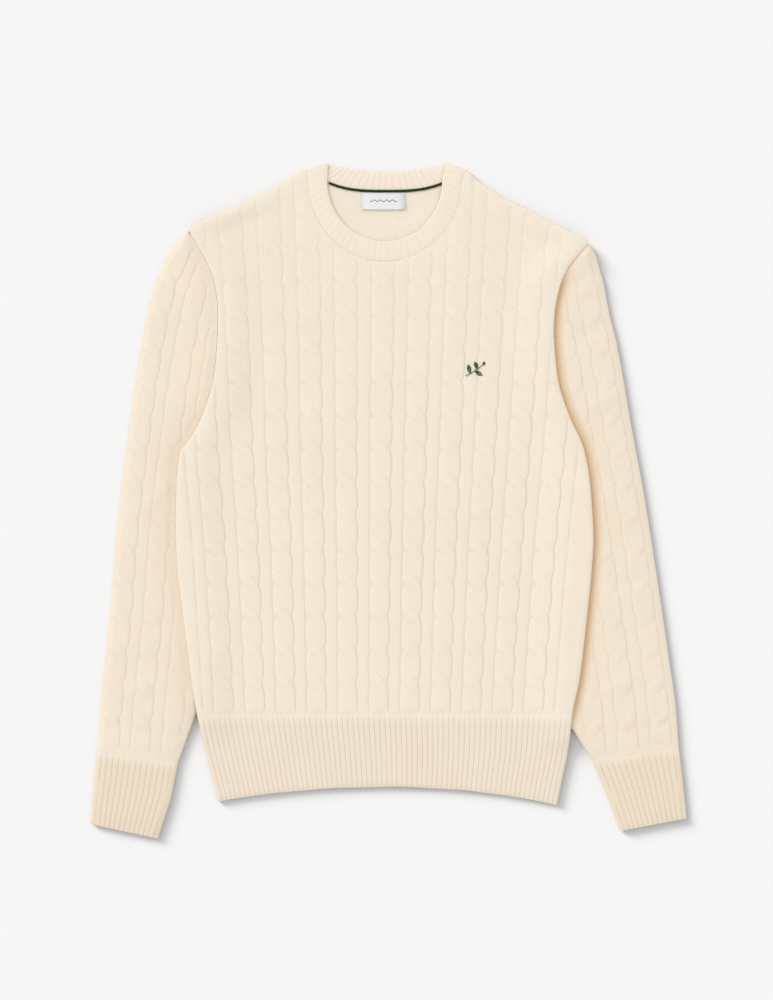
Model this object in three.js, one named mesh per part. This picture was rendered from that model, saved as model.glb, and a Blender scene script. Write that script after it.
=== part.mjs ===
// Cable knit crew neck sweater, laid flat with its face up and its sleeves folded down.
// Millimetres. +Z is up from the surface it lies on, +Y runs from the hem to the neck,
// +X is the wearer's left. The origin is the middle of the garment's box, on the surface.

import * as THREE from 'three';

// Cloth
const wallThickness = 2.6;
const layerGap = 0.8;
const seamGap = 0.3;
const frontInside = wallThickness + layerGap;
const frontFace = frontInside + wallThickness;
const edgeDrop = 1.2;

// Rope cables
const crossingSpacing = 35.5;
const firstCrossing = -194;
const strandHeight = 2.1;
const strandOver = 0.7;
const strandOffset = 0.158;
const strandRadius = 0.162;
const strandSwell = 0.55;
const crossingShare = 0.62;
const stripeEdge = 0.42;
const grooveDepth = 0.4;
const stripeHeight = 0.6;
const outermostCable = 5;
const reliefReach = 0.7;
const featuresPerRepeat = 6;
const stripeFeatures = 4;
const plainStrip = 9;

// Body
const hemLine = -226;
const shoulderTop = 349.5;
const shoulderTipRow = 273;
const sleeveThickness = frontFace;
const sideLift = sleeveThickness + seamGap;
const sideRamp = 42;
const sideRampStart = 2.5;
const rampSteps = 4;
const rowClearance = 5;
const edgeClearance = 2;

// Sleeves and cuffs: distances inward from a tube's folds
const tubeFold = { round: 1.2, soft: 3.5, drop: 1, hollow: 2.6, hollowFlat: 5 };
const tubeOrder = { inner: 1000, under: 1500, outer: 2000 };
const insideEvery = 3;
const rowLean = 0.134;
const coverMargin = 4.5;
const reliefFade = { outer: 8, inner: 7 };

// Neck
const neckCentre = { x: -4, y: 339 };
const neckSeam = { halfWidth: 81.5, depth: 85.5, leftTop: -85.5, rightTop: 82 };
const neckFree = { halfWidth: 60.9, depth: 64.7, leftTop: -64, rightTop: 61 };
const backNeck = { x: -2.5, y: 327.5, rise: 0.00325 };
const backFree = { x: -1.5, y: 348.5, halfWidth: 62.5, power: 1.65 };
const foldLine = { seam: shoulderTop, freeLeft: 354.8, freeRight: 355.5 };
const neckRibs = { front: 37, back: 22, height: 0.6, insideShare: 0.8 };
const freeEdgeRise = 1.2;
const neckSteps = { front: 12, back: 10, free: 48, backFree: 24, turn: 5 };
const seamInset = seamGap + 0.05;

// Hem and cuffs
const hemRibs = { count: 70, height: 0.7 };
const hemBottom = { x: -2.5, y: -304, sagLeft: 15.7, sagRight: 20.1, halfWidth: 200 };
const cuffRibs = { count: 14, height: 0.7 };

// Neck trims
const tape = { width: 3.2, thickness: 0.5, bottom: 3.7, left: -63, right: 57.5, steps: 16 };
const label = {
  left: -28, right: 17.5, top: 327, bottom: 309.5, thickness: 0.4, rest: 2.9, rise: 3, bendFrom: 0.3, steps: 5,
};

// Outline of the body from the shoulders to the hem's lower corners: y, left x, right x
const bodyOutline = [
  { y: 352, left: -86.0, right: 82.0 },
  { y: 340, left: -108.2, right: 93.0 },
  { y: 330, left: -125.4, right: 108.9 },
  { y: 318, left: -148.6, right: 128.5 },
  { y: 308, left: -168.7, right: 149.0 },
  { y: 298, left: -193.3, right: 165.9 },
  { y: 285, left: -210.5, right: 191.4 },
  { y: 273, left: -204.3, right: 210.5 },
  { y: 260, left: -196.9, right: 201.5 },
  { y: 245, left: -189.6, right: 189.9 },
  { y: 225, left: -183.4, right: 181.2 },
  { y: 200, left: -180.5, right: 176.3 },
  { y: 178, left: -180.6, right: 175.0 },
  { y: 155, left: -182.2, right: 176.4 },
  { y: 130, left: -185.2, right: 179.1 },
  { y: 105, left: -191.7, right: 185.7 },
  { y: 82, left: -200.8, right: 194.7 },
  { y: 63, left: -211.8, right: 203.8 },
  { y: 50, left: -221.1, right: 208.0 },
  { y: 25, left: -224.0, right: 212.5 },
  { y: -5, left: -225.0, right: 215.3 },
  { y: -40, left: -225.0, right: 217.0 },
  { y: -75, left: -223.3, right: 215.0 },
  { y: -105, left: -219.9, right: 212.1 },
  { y: -152, left: -213.7, right: 207.0 },
  { y: -190, left: -208.9, right: 202.2 },
  { y: -226, left: -202.8, right: 194.8 },
  { y: -265, left: -194.7, right: 190.5 },
  { y: -300, left: -185.8, right: 183.4 },
  { y: -326, left: -179.0, right: 178.2 },
];

// Middle of the centre cable and the width of one cable repeat up the body
const cableLayout = [
  { y: 350, centre: -5.0, repeat: 41.5 },
  { y: 180, centre: -6.4, repeat: 38.4 },
  { y: 60, centre: -8.0, repeat: 36.8 },
  { y: -60, centre: -9.0, repeat: 34.8 },
  { y: -226, centre: -10.5, repeat: 32.7 },
];

// How much of the body's height over each sleeve is reached: 1 where a sleeve lies under it
const liftShare = [
  { y: 340, left: 0, right: 0 },
  { y: 321, left: 0.3, right: 0.15 },
  { y: 303, left: 0.65, right: 0.4 },
  { y: 286, left: 1, right: 0.75 },
  { y: 274, left: 1, right: 1 },
  { y: -224, left: 1, right: 1 },
  { y: -247, left: 0.45, right: 1 },
  { y: -268, left: 0, right: 0.4 },
  { y: -290, left: 0, right: 0 },
];

// How far each sleeve reaches under the body's edge
const sleeveTuck = [
  { y: 285, left: 8, right: 8 },
  { y: 90, left: 8, right: 8 },
  { y: 40, left: 13, right: 13 },
  { y: -60, left: 16, right: 16 },
  { y: -150, left: 14, right: 15 },
  { y: -195, left: 9, right: 12 },
  { y: -225, left: 0, right: 6 },
  { y: -245, left: 0, right: 0 },
];

// Sleeves: left and right are the sides of the laid garment
const sleeves = {
  right: {
    sleeveName: 'sleeve_left',
    cuffName: 'cuff_left',
    top: 267,
    firstCable: 19,
    repeat: 35,
    crotch: { x: 198.5, y: -245 },
    outer: [
      { y: 272, x: 211.5 },
      { y: 260, x: 219.4 },
      { y: 245, x: 224.0 },
      { y: 230, x: 228.2 },
      { y: 200, x: 233.8 },
      { y: 165, x: 242.3 },
      { y: 120, x: 250.6 },
      { y: 75, x: 258.3 },
      { y: 12, x: 270.1 },
      { y: -53, x: 280.5 },
      { y: -106, x: 288.5 },
      { y: -160, x: 296.4 },
      { y: -222, x: 305.0 },
      { y: -262, x: 308.0 },
    ],
    cuffTop: { outer: { x: 308, y: -262 }, inner: { x: 215.5, y: -274.5 } },
    cuffMiddle: { outer: { x: 312.5, y: -300 }, inner: { x: 231, y: -312 } },
    cuffBottom: { outer: { x: 316.5, y: -337.5 }, inner: { x: 245.5, y: -351 } },
  },
  left: {
    sleeveName: 'sleeve_right',
    cuffName: 'cuff_right',
    top: 279,
    firstCable: 13,
    repeat: 33,
    crotch: { x: -203, y: -224.5 },
    outer: [
      { y: 285, x: -212.0 },
      { y: 272, x: -225.1 },
      { y: 260, x: -234.0 },
      { y: 245, x: -240.9 },
      { y: 230, x: -247.3 },
      { y: 200, x: -255.2 },
      { y: 165, x: -262.3 },
      { y: 120, x: -269.6 },
      { y: 75, x: -275.6 },
      { y: 12, x: -283.6 },
      { y: -53, x: -290.4 },
      { y: -106, x: -294.0 },
      { y: -160, x: -299.6 },
      { y: -222, x: -306.0 },
      { y: -266, x: -309.5 },
    ],
    cuffTop: { outer: { x: -309.5, y: -266 }, inner: { x: -223, y: -277.5 } },
    cuffMiddle: { outer: { x: -313, y: -304 }, inner: { x: -231, y: -318 } },
    cuffBottom: { outer: { x: -316.5, y: -343.5 }, inner: { x: -244.5, y: -359 } },
  },
};

const knitMaterial = { color: 0xf0e5d0, roughness: 0.95, metalness: 0 };
const ribMaterial = { color: 0xeee0c8, roughness: 0.95, metalness: 0 };
const tapeMaterial = { color: 0x1f3a16, roughness: 0.85, metalness: 0 };
const labelMaterial = { color: 0xececee, roughness: 0.5, metalness: 0 };

const garment = new THREE.Group();

// A column of a table at a height, with straight lines between its rows
function readTable(table, y, column) {
  let upper = table[0];
  if (y >= upper.y) return upper[column];
  for (const lower of table) {
    if (y >= lower.y) {
      const share = lower.y === upper.y ? 0 : (y - lower.y) / (upper.y - lower.y);
      return THREE.MathUtils.lerp(lower[column], upper[column], share);
    }
    upper = lower;
  }
  return upper[column];
}

function mix(a, b, share) {
  return THREE.MathUtils.lerp(a, b, share);
}

function between(a, b, share) {
  return { x: mix(a.x, b.x, share), y: mix(a.y, b.y, share) };
}

// A closed skin of triangles, sewn together row by row
class Skin {
  constructor() {
    this.positions = [];
    this.triangles = [];
  }

  // A point of the skin with its place along its own row
  point(x, y, z, along) {
    this.positions.push(x, y, z);
    return { index: this.positions.length / 3 - 1, along, x, y };
  }

  triangle(a, b, c, turned) {
    if (turned) this.triangles.push(a.index, c.index, b.index);
    else this.triangles.push(a.index, b.index, c.index);
  }

  // Fills the strip between two rows whose points run the same way
  sew(low, high, turned = false) {
    let i = 0;
    let j = 0;
    while (i < low.length - 1 || j < high.length - 1) {
      const lowLeft = i < low.length - 1;
      const highLeft = j < high.length - 1;
      if (lowLeft && (!highLeft || low[i + 1].along <= high[j + 1].along)) {
        this.triangle(low[i], low[i + 1], high[j], turned);
        i += 1;
      } else {
        this.triangle(low[i], high[j + 1], high[j], turned);
        j += 1;
      }
    }
  }

  // Adds the skin to the garment as one solid with its faces pointing out
  addTo(group, name, look) {
    const geometry = new THREE.BufferGeometry();
    geometry.setAttribute('position', new THREE.Float32BufferAttribute(this.positions, 3));
    geometry.setIndex(this.volume() < 0 ? this.reversed() : this.triangles);
    const mesh = new THREE.Mesh(geometry, new THREE.MeshStandardMaterial(look));
    mesh.name = name;
    group.add(mesh);
  }

  volume() {
    const corner = (n) => new THREE.Vector3().fromArray(this.positions, 3 * this.triangles[n]);
    let total = 0;
    for (let n = 0; n < this.triangles.length; n += 3) {
      total += corner(n).dot(corner(n + 1).cross(corner(n + 2)));
    }
    return total;
  }

  reversed() {
    const turned = [];
    for (let n = 0; n < this.triangles.length; n += 3) {
      turned.push(this.triangles[n], this.triangles[n + 2], this.triangles[n + 1]);
    }
    return turned;
  }
}

// Height of a rope cable over the plain knit: across is in repeats from the middle of a
// cable, up is in crossings from one crossing. One strand passes over the other each time.
function ropeHeight(across, up) {
  const nearest = across - Math.round(across);
  const phase = up - Math.round(up);
  const run = THREE.MathUtils.smoothstep(-phase, -crossingShare / 2, crossingShare / 2);
  const bump = Math.sin(Math.PI * run);
  const overPlace = mix(-strandOffset, strandOffset, run);
  const radius = strandRadius * (1 + strandSwell * bump);
  const strand = (place, height) => {
    const share = (nearest - place) / radius;
    return height * Math.sqrt(Math.max(0, 1 - share * share));
  };
  const over = strand(overPlace, strandHeight + strandOver * bump);
  const under = strand(-overPlace, strandHeight - strandOver * bump);
  const ground = Math.abs(nearest) > stripeEdge ? stripeHeight : -grooveDepth;
  return Math.max(over, under, ground);
}

function crossingPlace(y) {
  return (y - firstCrossing) / crossingSpacing;
}

// Height of the body above the surface at its sides, where the sleeves lie under it
function bodyLift(x, y) {
  const fromLeft = x - readTable(bodyOutline, y, 'left');
  const fromRight = readTable(bodyOutline, y, 'right') - x;
  const side = fromLeft < fromRight ? 'left' : 'right';
  const start = readTable(sleeveTuck, y, side) + sideRampStart;
  const inward = Math.min(fromLeft, fromRight);
  const ramp = 1 - THREE.MathUtils.smoothstep(inward, start, start + sideRamp);
  return sideLift * readTable(liftShare, y, side) * ramp;
}

// Where a row's ends and the ends at the neck come in the order of a plain row's places
const rank = { left: 0, neckLeft: 9, neckRight: 11, right: 20 };

// Places across one row of plain cloth, enough to follow the rise at the sides
function plainPlaces(y) {
  const left = readTable(bodyOutline, y, 'left');
  const right = readTable(bodyOutline, y, 'right');
  const places = [{ x: (left + right) / 2, along: (rank.left + rank.right) / 2 }];
  for (let n = 0; n <= rampSteps; n += 1) {
    const inward = sideRampStart + (n / rampSteps) * sideRamp;
    places.push({ x: left + readTable(sleeveTuck, y, 'left') + inward, along: rank.left + n + 1 });
    places.push({ x: right - readTable(sleeveTuck, y, 'right') - inward, along: rank.right - n - 1 });
  }
  return places.sort((a, b) => a.along - b.along);
}

const byRank = (x, order) => order;
const byPlace = (x) => x;

// Places across one row of the front that follow strands, grooves and stripes
function cablePlaces(y) {
  const centre = readTable(cableLayout, y, 'centre');
  const repeat = readTable(cableLayout, y, 'repeat');
  const places = [];
  const last = featuresPerRepeat * outermostCable + stripeFeatures;
  for (let n = -last; n <= last; n += 1) {
    places.push(centre + (n * repeat) / featuresPerRepeat);
  }
  const reach = (last * repeat) / featuresPerRepeat;
  places.unshift(centre - reach - plainStrip);
  places.push(centre + reach + plainStrip);
  return places.map((x) => ({ x, along: x }));
}

function cableRelief(x, y) {
  const centre = readTable(cableLayout, y, 'centre');
  const repeat = readTable(cableLayout, y, 'repeat');
  const across = (x - centre) / repeat;
  if (Math.abs(across) > outermostCable + reliefReach) return 0;
  return ropeHeight(across, crossingPlace(y));
}

// Points of one surface of a panel along a row, from its start to its end
function surfaceRow(skin, y, start, end, places, height, edgeHeight) {
  const row = [skin.point(start.x, y, edgeHeight(start.x, y), start.along)];
  for (const { x, along } of places) {
    const inside = x > start.x + edgeClearance && x < end.x - edgeClearance;
    if (inside) row.push(skin.point(x, y, height(x, y), along));
  }
  row.push(skin.point(end.x, y, edgeHeight(end.x, y), end.along));
  return row;
}

// Sews the face, the inside and both edges of a panel between two of its rows
function sewWall(skin, low, high) {
  const edge = (first, second) => [{ ...first, along: 0 }, { ...second, along: 1 }];
  skin.sew(low.face, high.face);
  skin.sew(low.inside, high.inside, true);
  skin.sew(edge(low.inside[0], low.face[0]), edge(high.inside[0], high.face[0]));
  skin.sew(edge(low.face.at(-1), low.inside.at(-1)), edge(high.face.at(-1), high.inside.at(-1)));
}

// Closes a panel along its first or its last row
function capRow(skin, row, turned) {
  const inPlace = (points) => points.map((p) => ({ ...p, along: p.x }));
  skin.sew(inPlace(row.inside), inPlace(row.face), turned);
}

// A body panel from the hem line to the shoulders with the neck cut out of its top
function bodyPanel(name, rows, neck, surface) {
  const skin = new Skin();
  const ends = {
    left: (y) => readTable(bodyOutline, y, 'left'),
    neckLeft: neck.left,
    neckRight: neck.right,
    right: (y) => readTable(bodyOutline, y, 'right'),
  };
  const make = (y, from, to) => {
    const end = (key, order) => ({ x: ends[key](y), along: order(ends[key](y), rank[key]) });
    const row = (order, places, height, edgeHeight) => (
      surfaceRow(skin, y, end(from, order), end(to, order), places, height, edgeHeight)
    );
    return {
      face: row(surface.order, surface.places(y), surface.face, surface.faceEdge),
      inside: row(byRank, plainPlaces(y), surface.inside, surface.insideEdge),
    };
  };

  const lower = rows.filter((y) => y < neck.bottom);
  const upper = rows.filter((y) => y > neck.bottom);
  let previous = make(lower[0], 'left', 'right');
  capRow(skin, previous, false);
  for (const y of lower.slice(1)) {
    const next = make(y, 'left', 'right');
    sewWall(skin, previous, next);
    previous = next;
  }

  const split = upper[0];
  const curve = neck.curve(split);
  const rise = (height, order) => curve.map((p, n) => {
    const along = order(p.x, mix(rank.neckLeft, rank.neckRight, (n + 1) / (curve.length + 1)));
    return skin.point(p.x, p.y, height(p.x, p.y), along);
  });
  let leftPart = make(split, 'left', 'neckLeft');
  let rightPart = make(split, 'neckRight', 'right');
  const neckFace = rise(surface.faceEdge, surface.order);
  const neckInside = rise(surface.insideEdge, byRank);
  sewWall(skin, previous, {
    face: [...leftPart.face, ...neckFace, ...rightPart.face],
    inside: [...leftPart.inside, ...neckInside, ...rightPart.inside],
  });
  const inOrder = (points) => points.map((p, n) => ({ ...p, along: n }));
  skin.sew(
    inOrder([leftPart.inside.at(-1), ...neckInside, rightPart.inside[0]]),
    inOrder([leftPart.face.at(-1), ...neckFace, rightPart.face[0]]),
    true,
  );

  for (const y of upper.slice(1)) {
    const nextLeft = make(y, 'left', 'neckLeft');
    const nextRight = make(y, 'neckRight', 'right');
    sewWall(skin, leftPart, nextLeft);
    sewWall(skin, rightPart, nextRight);
    leftPart = nextLeft;
    rightPart = nextRight;
  }
  capRow(skin, leftPart, true);
  capRow(skin, rightPart, true);
  skin.addTo(garment, name, knitMaterial);
}

// Front neckline: half an ellipse, then nearly straight up to the shoulder seams
function frontNeckX(y, side) {
  if (y >= neckCentre.y) {
    const share = (y - neckCentre.y) / (shoulderTop - neckCentre.y);
    const foot = neckCentre.x + side * neckSeam.halfWidth;
    return mix(foot, side < 0 ? neckSeam.leftTop : neckSeam.rightTop, Math.min(1, share));
  }
  const drop = (neckCentre.y - y) / neckSeam.depth;
  return neckCentre.x + side * neckSeam.halfWidth * Math.sqrt(1 - drop * drop);
}

function frontNeckCurve(y) {
  const steps = neckSteps.front;
  const half = Math.acos((neckCentre.y - y) / neckSeam.depth);
  const points = [];
  for (let n = 1; n < steps; n += 1) {
    const angle = mix(-half, half, n / steps);
    points.push({
      x: neckCentre.x + neckSeam.halfWidth * Math.sin(angle),
      y: neckCentre.y - neckSeam.depth * Math.cos(angle),
    });
  }
  return points;
}

function backNeckX(y, side) {
  return backNeck.x + side * Math.sqrt((y - backNeck.y) / backNeck.rise);
}

function backNeckCurve(y) {
  const steps = neckSteps.back;
  const half = Math.sqrt((y - backNeck.y) / backNeck.rise);
  const points = [];
  for (let n = 1; n < steps; n += 1) {
    const offset = mix(-half, half, n / steps);
    points.push({ x: backNeck.x + offset, y: backNeck.y + backNeck.rise * offset * offset });
  }
  return points;
}

const frontNeck = {
  bottom: neckCentre.y - neckSeam.depth,
  left: (y) => frontNeckX(y, -1),
  right: (y) => frontNeckX(y, 1),
  curve: frontNeckCurve,
};

const backNeckLine = {
  bottom: backNeck.y,
  left: (y) => backNeckX(y, -1),
  right: (y) => backNeckX(y, 1),
  curve: backNeckCurve,
};

// Rows of the body: two to each crossing, one more at the lower shoulder tip
function bodyRows() {
  const rows = [hemLine];
  const step = crossingSpacing / 2;
  for (let y = firstCrossing - step; y < shoulderTop - rowClearance; y += step) rows.push(y);
  rows.push(shoulderTipRow, shoulderTop);
  return rows.sort((a, b) => a - b);
}

const front = {
  places: cablePlaces,
  order: byPlace,
  face: (x, y) => bodyLift(x, y) + frontFace + cableRelief(x, y),
  faceEdge: (x, y) => bodyLift(x, y) + frontFace - edgeDrop,
  inside: (x, y) => bodyLift(x, y) + frontInside,
  insideEdge: (x, y) => bodyLift(x, y) + wallThickness + seamGap,
};

const back = {
  places: plainPlaces,
  order: byRank,
  face: (x, y) => bodyLift(x, y) + wallThickness,
  faceEdge: (x, y) => bodyLift(x, y) + wallThickness,
  inside: (x, y) => bodyLift(x, y),
  insideEdge: (x, y) => bodyLift(x, y),
};

// A ribbed waist band under a body panel, its lower edge curved
function hemPanel(name, ribCount, surface) {
  const skin = new Skin();
  const levels = [0, 0.32, 0.6, 0.82, 1];
  const top = hemLine - seamGap;
  const place = (across, level) => {
    const x = mix(readTable(bodyOutline, top, 'left'), readTable(bodyOutline, top, 'right'), across);
    const side = x < hemBottom.x ? hemBottom.sagLeft : hemBottom.sagRight;
    const sag = side * ((x - hemBottom.x) / hemBottom.halfWidth) ** 2;
    const y = mix(hemBottom.y - sag, top, level);
    const left = readTable(bodyOutline, y, 'left');
    const right = readTable(bodyOutline, y, 'right');
    return { x: mix(left, right, across), y };
  };
  const row = (level, shares, height) => shares.map((across, n) => {
    const p = place(across, level);
    const edge = n === 0 || n === shares.length - 1 || level === 0;
    return skin.point(p.x, p.y, bodyLift(p.x, p.y) + height(n, edge), across);
  });
  const plainShares = [0, 0.03, 0.06, 0.08, 0.1, 0.12, 0.15, 0.5, 0.85, 0.88, 0.9, 0.92, 0.94, 0.97, 1];
  const ribShares = [];
  for (let n = 0; n <= 2 * ribCount; n += 1) ribShares.push(n / (2 * ribCount));
  const faceShares = ribCount ? ribShares : plainShares;
  let previous = null;
  for (const level of levels) {
    const next = {
      face: row(level, faceShares, surface.face),
      inside: row(level, plainShares, surface.inside),
    };
    if (previous) sewWall(skin, previous, next);
    else capRow(skin, next, false);
    previous = next;
  }
  capRow(skin, previous, true);
  skin.addTo(garment, name, ribMaterial);
}

const frontHem = {
  face: (n, edge) => frontFace - (edge ? edgeDrop : 0) + (n % 2) * hemRibs.height,
  inside: (n, edge) => (edge ? wallThickness + seamGap : frontInside),
};

const backHem = {
  face: () => wallThickness,
  inside: () => 0,
};

// Inner edge of a sleeve: under the body's side, then out from the hem down to the cuff
function sleeveInnerX(side, y) {
  const spec = sleeves[side];
  const sign = side === 'left' ? 1 : -1;
  if (y >= spec.crotch.y) {
    return readTable(bodyOutline, y, side) + sign * readTable(sleeveTuck, y, side);
  }
  const foot = spec.cuffTop.inner;
  return mix(spec.crotch.x, foot.x, Math.min(1, (spec.crotch.y - y) / (spec.crotch.y - foot.y)));
}

// A flattened tube, open at both ends. Each row runs straight from the outer fold to the
// inner fold and gives the places and heights of its upper face.
function flatTube(name, look, rows) {
  const skin = new Skin();
  const middle = frontFace / 2;
  const { round, soft, drop, hollow, hollowFlat } = tubeFold;
  const { inner, under, outer } = tubeOrder;
  const outerRing = (row) => {
    const at = (inward, z, along) => {
      const p = between(row.outer, row.inner, inward / row.width);
      return skin.point(p.x, p.y, z, along);
    };
    const ring = [at(0, middle, 0), at(round, frontFace - drop, round)];
    for (const inward of row.places) {
      if (inward > soft && inward < row.width - soft) {
        ring.push(at(inward, frontFace + row.relief(inward), inward));
      }
    }
    ring.push(at(row.width - round, frontFace - drop, inner - 1));
    ring.push(at(row.width, middle, inner));
    ring.push(at(row.width - round, drop, inner + 1));
    ring.push(at(row.width - soft, 0, inner + 2));
    ring.push(at(row.width / 2, 0, under));
    ring.push(at(soft, 0, outer - 2));
    ring.push(at(round, drop, outer - 1));
    ring.push({ ...ring[0], along: outer });
    return ring;
  };
  const innerRing = (row) => {
    const at = (inward, z, along) => {
      const p = between(row.outer, row.inner, inward / row.width);
      return skin.point(p.x, p.y, z, along);
    };
    const ring = [
      at(hollow, middle, 0),
      at(hollowFlat, frontInside, hollowFlat),
      at(row.width / 2, frontInside, row.width / 2),
      at(row.width - hollowFlat, frontInside, inner - 1),
      at(row.width - hollow, middle, inner),
      at(row.width - hollowFlat, wallThickness, inner + 1),
      at(row.width / 2, wallThickness, under),
      at(hollowFlat, wallThickness, outer - 2),
    ];
    ring.push({ ...ring[0], along: outer });
    return ring;
  };
  let previous = null;
  let previousInside = null;
  rows.forEach((row, n) => {
    const outside = outerRing(row);
    if (previous) skin.sew(previous, outside);
    if (n === 0 || n === rows.length - 1 || n % insideEvery === 0) {
      const inside = innerRing(row);
      if (previousInside) skin.sew(previousInside, inside, true);
      if (n === 0) skin.sew(inside, outside);
      if (n === rows.length - 1) skin.sew(inside, outside, true);
      previousInside = inside;
    }
    previous = outside;
  });
  skin.addTo(garment, name, look);
}

function fade(distance, width) {
  return THREE.MathUtils.smoothstep(distance, 0, width);
}

function sleeveRow(side, y) {
  const spec = sleeves[side];
  const outer = { x: readTable(spec.outer, y, 'x'), y };
  const lean = rowLean * Math.abs(outer.x - sleeveInnerX(side, y));
  const inner = { x: sleeveInnerX(side, y - lean), y: y - lean };
  const width = Math.hypot(outer.x - inner.x, outer.y - inner.y);
  const tuck = y - lean > spec.crotch.y ? readTable(sleeveTuck, y - lean, side) : 0;
  const covered = tuck + coverMargin;
  const step = spec.repeat / featuresPerRepeat;
  const places = [];
  for (let inward = spec.firstCable % step; inward < width - covered - edgeClearance; inward += step) {
    places.push(inward);
  }
  places.push(width - covered, width - covered / 2 - edgeClearance);
  const relief = (inward) => {
    const shown = fade(inward, reliefFade.outer) * fade(width - covered - inward, reliefFade.inner);
    return shown * ropeHeight((inward - spec.firstCable) / spec.repeat, crossingPlace(y));
  };
  return { outer, inner, width, places, relief };
}

function addSleeve(side) {
  const spec = sleeves[side];
  const step = crossingSpacing / 2;
  const first = firstCrossing - 3 * step;
  const rows = [];
  const foot = { outer: spec.cuffTop.outer, inner: spec.cuffTop.inner };
  const last = sleeveRow(side, foot.outer.y);
  rows.push({ ...last, ...foot, width: Math.hypot(foot.outer.x - foot.inner.x, foot.outer.y - foot.inner.y) });
  for (let y = first; y < spec.top - rowClearance; y += step) {
    if (y > foot.outer.y + rowClearance) rows.push(sleeveRow(side, y));
  }
  rows.push(sleeveRow(side, spec.top));
  flatTube(spec.sleeveName, knitMaterial, rows);
}

// A ribbed cuff, drawn in toward its lower edge
function addCuff(side) {
  const spec = sleeves[side];
  const levels = [
    { from: spec.cuffTop, to: spec.cuffMiddle, share: 0 },
    { from: spec.cuffTop, to: spec.cuffMiddle, share: 0.5 },
    { from: spec.cuffMiddle, to: spec.cuffBottom, share: 0 },
    { from: spec.cuffMiddle, to: spec.cuffBottom, share: 0.94 },
    { from: spec.cuffMiddle, to: spec.cuffBottom, share: 1 },
  ];
  const rows = levels.map(({ from, to, share }, level) => {
    const outer = between(from.outer, to.outer, share);
    const inner = between(from.inner, to.inner, share);
    if (level === 0) {
      outer.y -= seamGap;
      inner.y -= seamGap;
    }
    const width = Math.hypot(outer.x - inner.x, outer.y - inner.y);
    const places = [];
    for (let n = 1; n < 2 * cuffRibs.count; n += 1) places.push((n * width) / (2 * cuffRibs.count));
    const drop = level === levels.length - 1 ? edgeDrop : 0;
    const height = (inward) => {
      const n = Math.round((inward * 2 * cuffRibs.count) / width);
      return (n % 2) * cuffRibs.height - drop;
    };
    return { outer, inner, width, places, relief: height };
  });
  flatTube(spec.cuffName, ribMaterial, rows);
}

// Points evenly spaced along a bent line
function alongLine(points, count) {
  const lengths = [0];
  for (let n = 1; n < points.length; n += 1) {
    const step = Math.hypot(points[n].x - points[n - 1].x, points[n].y - points[n - 1].y);
    lengths.push(lengths[n - 1] + step);
  }
  const result = [];
  for (let n = 0; n <= count; n += 1) {
    const target = (lengths.at(-1) * n) / count;
    let k = 1;
    while (k < points.length - 1 && lengths[k] < target) k += 1;
    const share = (target - lengths[k - 1]) / (lengths[k] - lengths[k - 1]);
    result.push(between(points[k - 1], points[k], Math.min(1, share)));
  }
  return result;
}

// The seam line that the front neckband meets, just inside the front's own points
function frontSeamLine() {
  const rows = bodyRows().filter((y) => y > frontNeck.bottom && y < foldLine.seam);
  const leftSide = [...rows].reverse().map((y) => ({ x: frontNeck.left(y) + seamInset, y }));
  const rightSide = rows.map((y) => ({ x: frontNeck.right(y) - seamInset, y }));
  const bottom = frontNeck.curve(rows[0]).map((p) => {
    const away = Math.hypot(p.x - neckCentre.x, p.y - neckCentre.y);
    return between(p, neckCentre, seamInset / away);
  });
  const top = { y: foldLine.seam };
  return [
    { ...top, x: neckSeam.leftTop + seamInset },
    ...leftSide,
    ...bottom,
    ...rightSide,
    { ...top, x: neckSeam.rightTop - seamInset },
  ];
}

function frontFreeLine() {
  const points = [{ x: neckFree.leftTop, y: foldLine.freeLeft }];
  for (let n = 0; n <= neckSteps.free; n += 1) {
    const angle = Math.PI * (1 + n / neckSteps.free);
    points.push({
      x: neckCentre.x + neckFree.halfWidth * Math.cos(angle),
      y: neckCentre.y + neckFree.depth * Math.sin(angle),
    });
  }
  points.push({ x: neckFree.rightTop, y: foldLine.freeRight });
  return points;
}

// The back seam line from the right fold to the left, just above the back's own points
function backSeamLine() {
  const rows = bodyRows().filter((y) => y > backNeck.y && y < foldLine.seam);
  const points = [{ x: backNeckX(foldLine.seam, 1) - seamInset, y: foldLine.seam }];
  for (const y of [...rows].reverse()) points.push({ x: backNeckX(y, 1), y: y + seamInset });
  for (const p of backNeckCurve(rows[0]).reverse()) points.push({ x: p.x, y: p.y + seamInset });
  for (const y of rows) points.push({ x: backNeckX(y, -1), y: y + seamInset });
  points.push({ x: backNeckX(foldLine.seam, -1) + seamInset, y: foldLine.seam });
  return points;
}

function backFreeLine() {
  const points = [];
  for (let n = 0; n <= neckSteps.backFree; n += 1) {
    const offset = mix(backFree.halfWidth, -backFree.halfWidth, n / neckSteps.backFree);
    const end = offset > 0 ? foldLine.freeRight : foldLine.freeLeft;
    const share = Math.abs(offset / backFree.halfWidth) ** backFree.power;
    points.push({ x: backFree.x + offset, y: mix(backFree.y, end, share) });
  }
  return points;
}

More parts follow.
